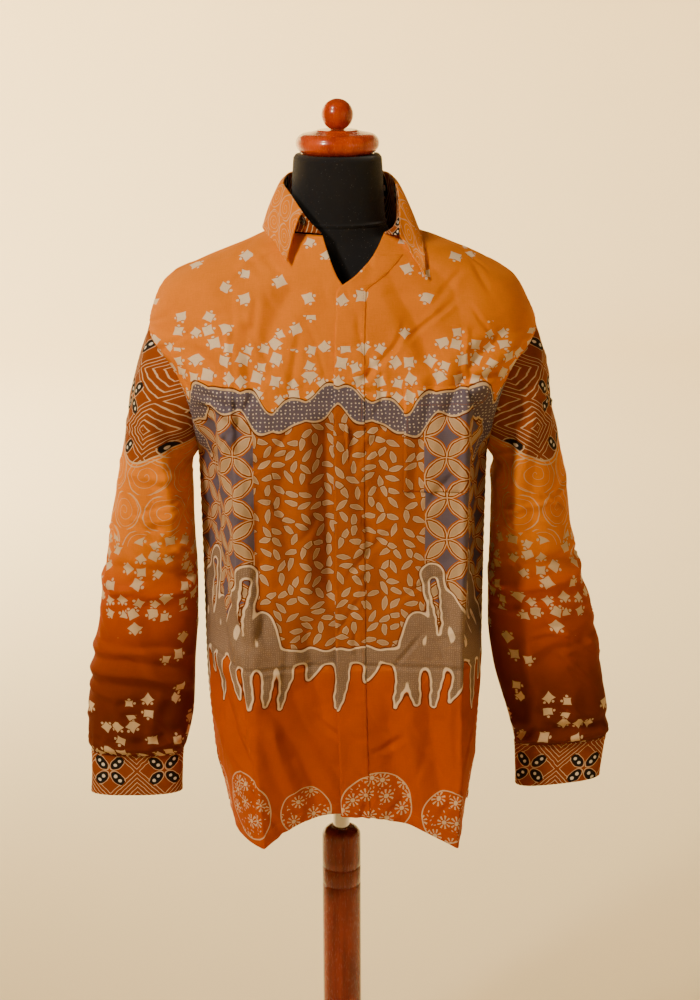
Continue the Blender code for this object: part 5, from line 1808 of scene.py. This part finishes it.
class BATIK_OT_stitches(PieceOperator, Operator):
    """Sew the hem, placket, pocket, collar, cuff and armhole lines"""
    bl_idname = "batik.stitches"
    bl_label = "Stitches"

    def execute(self, context):
        thread = once("orange_thread", sewing_thread, (0.42, 0.10, 0.004), (0.60, 0.17, 0.010))
        left, right, back = left_front(), right_front(), back_panel()
        hem = [across_rows(panel, lambda foot: foot[2] + HEM_STITCH) for panel in (left, right, back)]
        open_rows = slice(int(FRONT_ROWS * 0.03), int(FRONT_ROWS * 0.125))
        slits = [up_columns(panel, 0.007, open_rows, from_end=True) for panel in (left, right)]
        back_rows = slice(int(BACK_ROWS * 0.03), int(BACK_ROWS * 0.125))
        slits += [up_columns(back, 0.007, back_rows, from_end=side) for side in (False, True)]
        top = int(FRONT_ROWS * (UNDERARM_Z + 0.004 - HEM_Z) / (NECK_Z - HEM_Z))
        shoulder = int(FRONT_ROWS * (SHOULDER_END_Z - HEM_Z) / (NECK_Z - HEM_Z))
        armholes = [up_columns(panel, 0.0065, slice(top, shoulder), from_end=True) for panel in (left, right)]
        back_top = int(BACK_ROWS * (UNDERARM_Z + 0.004 - HEM_Z) / (NECK_Z - HEM_Z))
        back_shoulder = int(BACK_ROWS * (SHOULDER_END_Z - HEM_Z) / (NECK_Z - HEM_Z))
        armholes += [up_columns(back, 0.0065, slice(back_top, back_shoulder), from_end=side)
                     for side in (False, True)]
        add_stitches("body_stitches", hem + slits + armholes, thread)

        band = up_columns(placket_strip(), 0.004, from_end=True)
        points, normals, (u, v) = pocket_patch()
        inset = 2
        sides = [lifted(points[:, inset], normals[:, inset]),
                 lifted(points[:, -inset - 1], normals[:, -inset - 1]),
                 lifted(points[inset, inset:-inset], normals[inset, inset:-inset]),
                 lifted(points[-13, inset:-inset], normals[-13, inset:-inset])]
        add_stitches("placket_and_pocket_stitches", [band] + sides, thread)

        lines = []
        for side in (-1, 1):
            points, normals, _ = cuff(side)
            lines += [lifted(points[row], normals[row]) for row in (3, -4)]
        points, normals, _ = collar_leaf_sheet()
        reach = distances_along(points[:, COLLAR_COLUMNS_FINE // 2])
        row = int(np.argmin(np.abs(reach - (reach[-1] - 0.005))))
        lines.append(lifted(points[row, 3:-3], normals[row, 3:-3]))
        lines.append(lifted(points[row:4:-1, 3], normals[row:4:-1, 3]))
        lines.append(lifted(points[row:4:-1, -4], normals[row:4:-1, -4]))
        add_stitches("collar_and_cuff_stitches", lines, thread)
        return {"FINISHED"}


class BATIK_OT_buttons(PieceOperator, Operator):
    """Build the three black buttons that show, each with four holes and its thread"""
    bl_idname = "batik.buttons"
    bl_label = "Buttons"

    def execute(self, context):
        black = once("polished_black_button", black_button)
        thread = once("black_thread", sewing_thread, (0.012, 0.011, 0.012), (0.030, 0.028, 0.030))
        for node in ("collar_button", "cuff_button_right", "cuff_button_left"):
            centre, facing, radius, foot = self.seat(node)
            button = self.dished_disc(node + "_dished", radius, 0.0026, black)
            sewn = self.cross_threads(node + "_thread", thread)
            turn = Vector(facing).to_track_quat("Z", "Y").to_matrix().to_4x4()
            turn.translation = centre + facing * foot
            for piece in (button, sewn):
                piece.data.transform(turn)
                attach(piece, "form")
            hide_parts(node)
        return {"FINISHED"}

    def seat(self, node):
        """Where the frame's button lies: its middle, the way it faces, its radius and foot."""
        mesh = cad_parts[node].data
        points = np.array([vertex.co[:] for vertex in mesh.vertices])
        centre = (points.max(axis=0) + points.min(axis=0)) / 2
        _, spreads, axes = np.linalg.svd(points - points.mean(axis=0), full_matrices=False)
        facing = axes[2]
        sleeve_middle = 0.27 if abs(centre[0]) > 0.1 else 0.0
        outward = centre - np.array((np.sign(centre[0]) * sleeve_middle, 0.0, centre[2]))
        if facing @ outward < 0:
            facing = -facing
        depth = (points - centre) @ facing
        flat = (points - centre) - depth[:, None] * facing
        return Vector(centre), Vector(facing), float(np.linalg.norm(flat, axis=1).max()), float(depth.min())

    def dished_disc(self, name, radius, thickness, material):
        rim = thickness * 0.36
        profile = [(0.0, thickness * 0.62), (radius * 0.52, thickness * 0.62),
                   (radius * 0.64, thickness * 0.90)]
        profile += arc(radius - rim, thickness - rim, rim, 100, -10, 9)
        profile += [(radius - rim * 0.6, 0.0)]
        disc = add_turned(name, profile, material, 44)
        cutters = []
        for x, y in ((1, 1), (1, -1), (-1, 1), (-1, -1)):
            hole = add_turned(name + "_hole", [(0.00062, thickness * 2), (0.00062, -thickness)], material, 12)
            hole.data.transform(Matrix.Translation((x * 0.00115, y * 0.00115, 0.0)))
            cut = disc.modifiers.new("Hole", "BOOLEAN")
            cut.object = hole
            cut.solver = "EXACT"
            cutters.append(hole)
        bpy.context.view_layer.update()
        evaluated = disc.evaluated_get(bpy.context.evaluated_depsgraph_get())
        result = bpy.data.meshes.new_from_object(evaluated)
        disc.modifiers.clear()
        disc.data = result
        for hole in cutters:
            bpy.data.objects.remove(hole, do_unlink=True)
        return disc

    def cross_threads(self, name, material):
        """Two threads crossing between the holes."""
        vertices, faces = [], []
        for x in (1.0, -1.0):
            start, end = np.array((0.00115, 0.00115 * x)), np.array((-0.00115, -0.00115 * x))
            run = end - start
            aside = np.array((-run[1], run[0])) / np.linalg.norm(run)
            first = len(vertices)
            for t in np.linspace(0.0, 1.0, 9):
                middle = start + run * t
                height = 0.0014 + 0.0006 * math.sin(math.pi * t) ** 0.5
                for angle in np.linspace(0.0, 2 * math.pi, 8, endpoint=False):
                    offset = aside * 0.00026 * math.cos(angle)
                    vertices.append((middle[0] + offset[0], middle[1] + offset[1],
                                     height + 0.00026 * math.sin(angle)))
            for ring in range(8):
                for step in range(8):
                    a, b = first + ring * 8 + step, first + ring * 8 + (step + 1) % 8
                    faces.append((a, b, b + 8, a + 8))
            faces.append(tuple(range(first + 7, first - 1, -1)))
            faces.append(tuple(range(first + 64, first + 72)))
        piece = add_mesh(name, vertices, faces, material)
        outwards = bmesh.new()
        outwards.from_mesh(piece.data)
        bmesh.ops.recalc_face_normals(outwards, faces=outwards.faces)
        outwards.to_mesh(piece.data)
        outwards.free()
        return piece


class BATIK_OT_dress_form(PieceOperator, Operator):
    """Build the limbless torso and neck in black jersey"""
    bl_idname = "batik.dress_form"
    bl_label = "Dress form"

    def execute(self, context):
        jersey = once("jersey_knit_black", jersey_knit)
        low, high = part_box("dress_form")
        around = 128
        near_seam_line = np.linspace(1.478, 1.462, 24)
        heights = np.linspace(high[2], low[2], 230)
        heights = heights[(heights > near_seam_line[0]) | (heights < near_seam_line[-1])]
        heights = np.sort(np.concatenate((heights, near_seam_line)))
        covered = heights[heights < FORM_SHOWS_ABOVE]
        heights = np.concatenate((covered[::2], heights[heights >= FORM_SHOWS_ABOVE]))[::-1]
        rows = len(heights)
        turn = np.linspace(0.0, 2 * math.pi, around, endpoint=False)
        vertices = []
        for z in heights:
            ring = section_at(FORM_COLUMNS, FORM_SECTIONS, z)
            depth = np.where(np.sin(turn) < 0, ring["front"], ring["back"])
            ridge = 0.030 * math.exp(-((z - 1.472) / 0.0016) ** 2)
            groove = 0.012 * math.exp(-((z - 1.4685) / 0.0012) ** 2)
            seam = 1.0 + ridge - groove
            seam *= 1.0 - 0.05 * math.exp(-((high[2] - z) / 0.0022) ** 2)
            middle = 1.0 - 0.006 * np.exp(-(np.cos(turn) / 0.02) ** 2) * (z < 1.468)
            x = ring["half_width"] * np.cos(turn) * seam
            y = depth * np.sin(turn) * seam * middle
            vertices.extend(zip(x, y, np.full(around, z)))
        faces = [tuple(range(around)), tuple(reversed(range((rows - 1) * around, rows * around)))]
        for row in range(rows - 1):
            for step in range(around):
                after = (step + 1) % around
                faces.append((row * around + after, row * around + step,
                              (row + 1) * around + step, (row + 1) * around + after))
        piece = add_mesh("jersey_form", vertices, faces, jersey)
        piece.data.set_sharp_from_angle(angle=math.radians(60))
        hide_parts("dress_form")
        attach(piece, "form")
        return {"FINISHED"}


class BATIK_OT_neck_cap(PieceOperator, Operator):
    """Turn the neck cap and its ball finial"""
    bl_idname = "batik.neck_cap"
    bl_label = "Neck cap and finial"

    def execute(self, context):
        wood = once("cap_wood", varnished_wood, tuple(settings().wood_light), tuple(settings().wood_dark))
        low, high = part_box("neck_cap")
        radius = (high[0] - low[0]) / 2
        lip = (high[2] - low[2]) * 0.42
        profile = [(0.0, high[2]), (0.020, high[2])]
        profile += arc(0.024, high[2] - 0.0012, 0.0012, 90, 20, 5)
        profile += [(radius - lip - 0.004, high[2] - 0.0032)]
        profile += arc(radius - lip, high[2] - 0.004 - lip, lip, 82, -80, 30)
        profile += [(radius - 0.006, low[2] + 0.0008), (radius - 0.0075, low[2])]
        cap = add_turned("turned_neck_cap", fine_line(profile, 0.003), wood, 144)
        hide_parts("neck_cap")
        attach(cap, "form")
        low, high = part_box("cap_finial")
        ball_radius = (high[0] - low[0]) / 2
        middle = high[2] - ball_radius
        ball = arc(0.0, middle, ball_radius, 90, -60, 46)
        ball[0] = (0.0, high[2])
        ball += [(ball_radius * 0.42, low[2] + 0.0012), (ball_radius * 0.46, low[2])]
        finial = add_turned("ball_finial", ball, wood, 96)
        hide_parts("cap_finial")
        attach(finial, "form")
        return {"FINISHED"}


class BATIK_OT_stand(PieceOperator, Operator):
    """Build the chromed tube, the turned pole with its two grooves, and the base disc"""
    bl_idname = "batik.stand"
    bl_label = "Stand"

    def execute(self, context):
        options = settings()
        wood = once("pole_wood", varnished_wood, tuple(options.pole_light), tuple(options.pole_dark))
        chrome = once("chromed_tube_steel", chromed_steel)
        low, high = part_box("height_tube")
        radius = (high[0] - low[0]) / 2
        edge = 0.0008
        tube = arc(radius - edge, high[2] - edge, edge, 90, 0, 5)
        tube += [(radius, low[2] + edge), (radius - edge, low[2])]
        piece = add_turned("chromed_height_tube", fine_line(tube, 0.008), chrome, 72)
        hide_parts("height_tube")
        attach(piece, "form")

        low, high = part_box("stand_pole")
        pole_radius = (high[0] - low[0]) / 2
        bore = radius + 0.0004
        dome = pole_radius - bore - 0.002
        pole = [(0.0, high[2] - 0.366), (bore, high[2] - 0.366), (bore, high[2] - 0.0006)]
        pole += arc(bore + 0.0006, high[2] - 0.0006, 0.0006, 180, 90, 4)
        pole += arc(pole_radius - dome, high[2] - dome, dome, 88, 0, 22)
        for height in (0.610, 0.585):
            pole += [(pole_radius, height + 0.0019), (pole_radius - 0.0004, height + 0.0014)]
            pole += arc(pole_radius + 0.0001, height, 0.0013, 110, 250, 9)
            pole += [(pole_radius - 0.0004, height - 0.0014), (pole_radius, height - 0.0019)]
        pole += [(pole_radius, low[2])]
        piece = add_turned("turned_pole", fine_line(pole, 0.010), wood, 112)
        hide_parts("stand_pole")
        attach(piece, "stand")

        low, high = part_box("stand_base")
        base_radius = (high[0] - low[0]) / 2
        base = [(0.0, high[2])] + arc(base_radius - 0.010, high[2] - 0.010, 0.010, 90, 0, 20)
        base += [(base_radius, low[2] + 0.001), (base_radius - 0.001, low[2])]
        piece = add_turned("base_disc", fine_line(base, 0.012), wood, 160)
        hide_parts("stand_base")
        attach(piece, "stand")
        return {"FINISHED"}


STUDIO_RADIUS = 7.0
STUDIO_BEND = 1.6
STUDIO_HEIGHT = 4.6


class BATIK_OT_stage(PieceOperator, Operator):
    """Set the pale floor, the soft studio lights and the camera"""
    bl_idname = "batik.stage"
    bl_label = "Floor, lights and camera"

    def execute(self, context):
        options = settings()
        scene = context.scene
        floor_colour = once("pale_floor", plain_surface, tuple(options.floor_colour))
        turn = np.linspace(0.0, math.pi / 2, 19)
        reaches = np.append(STUDIO_RADIUS + STUDIO_BEND * np.sin(turn), STUDIO_RADIUS + STUDIO_BEND)
        heights = np.append(STUDIO_BEND * (1.0 - np.cos(turn)), STUDIO_HEIGHT) - 0.0005
        sides = 96
        around = np.arange(sides) * 2 * math.pi / sides
        corners = [(reach * math.cos(angle), reach * math.sin(angle), z)
                   for reach, z in zip(reaches, heights) for angle in around]
        rings = len(heights)
        faces = [tuple(range(sides))]
        faces += [(row * sides + k, (row + 1) * sides + k, (row + 1) * sides + (k + 1) % sides,
                   row * sides + (k + 1) % sides) for row in range(rings - 1) for k in range(sides)]
        floor = add_mesh("studio_floor", corners, faces, floor_colour)
        for name, kind, place, aim, size, power, colour in (
                ("spot_on_the_chest", "SPOT", (-1.7, -1.9, 2.9), (0.0, -0.1, 1.30), 0.14,
                 options.key_power, options.key_colour),
                ("overhead_light", "SUN", (-1.5, -1.2, 2.2), (0.0, 0.0, 0.0), math.radians(6.0),
                 options.overhead_strength, options.key_colour),
                ("backdrop_light", "AREA", (-3.4, 3.4, 4.2), (-1.6, 8.0, 0.6), 2.2,
                 options.backdrop_power, options.key_colour),
                ("fill_light", "AREA", (2.2, -2.4, 1.9), (0.0, 0.0, 1.05), 1.8,
                 options.fill_power, options.fill_colour)):
            light = bpy.data.lights.new(name, kind)
            light.energy = power
            light.color = tuple(colour)
            if kind == "AREA":
                light.shape, light.size = "DISK", size
            elif kind == "SUN":
                light.angle = size
            else:
                light.shadow_soft_size, light.spot_size, light.spot_blend = size, math.radians(46.0), 1.0
            lamp = link(bpy.data.objects.new(name, light))
            lamp.location = place
            lamp.rotation_euler = (Vector(aim) - Vector(place)).to_track_quat("-Z", "Y").to_euler()
        world = bpy.data.worlds.new("studio_air")
        world.use_nodes = True
        air = world.node_tree.nodes["Background"]
        air.inputs["Color"].default_value = (*options.air_colour, 1.0)
        air.inputs["Strength"].default_value = options.air_strength
        scene.world = world

        lens = bpy.data.cameras.new("view")
        lens.sensor_fit = "VERTICAL"
        lens.sensor_height = 36.0
        lens.lens = 74.6
        lens.shift_x = 0.0105
        lens.clip_end = 200.0
        camera = link(bpy.data.objects.new("view", lens))
        tilt = Euler((math.radians(75.0), 0.0, 0.0)).to_matrix().to_4x4()
        roll = Matrix.Rotation(math.radians(-0.33), 4, "Z")
        camera.matrix_world = Matrix.Translation((0.0, -2.555, 1.80)) @ tilt @ roll
        scene.camera = camera
        return {"FINISHED"}


# ---------------------------------------------------------------- settings and panel
def colour_setting(name, description, default):
    return FloatVectorProperty(name=name, description=description, default=default,
                               subtype="COLOR", size=3, min=0.0, max=1.0)


def length_setting(name, description, default):
    return FloatProperty(name=name, description=description, default=default, min=0.00005,
                         subtype="DISTANCE", unit="LENGTH", precision=5)


class BatikShirtSettings(PropertyGroup):
    """The colours and sizes that a user would change"""
    orange: colour_setting("Orange", "Dye of the shoulders and the middle", (0.76, 0.205, 0.0))
    rust: colour_setting("Rust", "Dye towards the hem and the cuffs", (0.46, 0.070, 0.0))
    stitch_length: length_setting("Stitch length", "Length of one stitch", 0.0021)
    stitch_gap: length_setting("Stitch gap", "Gap between two stitches", 0.0008)
    thread_width: length_setting("Thread width", "Width of the sewing thread", 0.0004)
    wood_light: colour_setting("Cap, light grain", "Light grain of the neck cap", (0.62, 0.075, 0.004))
    wood_dark: colour_setting("Cap, dark grain", "Dark grain of the neck cap", (0.30, 0.020, 0.001))
    pole_light: colour_setting("Pole, light grain", "Light grain of the stand", (0.300, 0.030, 0.008))
    pole_dark: colour_setting("Pole, dark grain", "Dark grain of the stand", (0.110, 0.009, 0.003))
    floor_colour: colour_setting("Floor", "Colour of the studio floor", (0.93, 0.77, 0.46))
    key_colour: colour_setting("Key light colour", "Colour of the spot and the overhead light",
                               (1.0, 0.86, 0.66))
    fill_colour: colour_setting("Fill light colour", "Colour of the fill light", (1.0, 0.88, 0.70))
    air_colour: colour_setting("Surrounding light", "Colour of the light from all round", (1.0, 0.88, 0.68))
    key_power: FloatProperty(name="Spot light", description="Power of the spot on the chest, in watts",
                             default=270.0, min=0.0)
    overhead_strength: FloatProperty(name="Overhead light", description="Strength of the overhead light",
                                     default=1.0, min=0.0)
    backdrop_power: FloatProperty(name="Backdrop light",
                                  description="Power of the light on the backdrop, in watts",
                                  default=1300.0, min=0.0)
    fill_power: FloatProperty(name="Fill light", description="Power of the fill light, in watts",
                              default=4.0, min=0.0)
    air_strength: FloatProperty(name="Surrounding strength",
                                description="Strength of the light from all round",
                                default=0.10, min=0.0)


class BATIK_PT_panel(Panel):
    """Lists the shirt's settings and its building steps"""
    bl_idname = "BATIK_PT_panel"
    bl_label = "Batik Shirt"
    bl_space_type = "VIEW_3D"
    bl_region_type = "UI"
    bl_category = "Batik Shirt"

    def draw(self, context):
        layout = self.layout
        for name in BatikShirtSettings.__annotations__:
            layout.prop(context.scene.batik_shirt, name)
        for operator in OPERATORS:
            layout.operator(operator.bl_idname)


OPERATORS = (BATIK_OT_stage, BATIK_OT_stand, BATIK_OT_dress_form, BATIK_OT_neck_cap, BATIK_OT_fronts,
             BATIK_OT_back, BATIK_OT_sleeves, BATIK_OT_cuffs, BATIK_OT_collar, BATIK_OT_stitches,
             BATIK_OT_buttons)
CLASSES = (BatikShirtSettings, *OPERATORS, BATIK_PT_panel)


def register():
    for each in CLASSES:
        bpy.utils.register_class(each)
    bpy.types.Scene.batik_shirt = PointerProperty(type=BatikShirtSettings)


def unregister():
    del bpy.types.Scene.batik_shirt
    for each in reversed(CLASSES):
        bpy.utils.unregister_class(each)


def main():
    register()
    for operator in OPERATORS:
        group, name = operator.bl_idname.split(".")
        getattr(getattr(bpy.ops, group), name)()


if __name__ == "__main__":
    main()
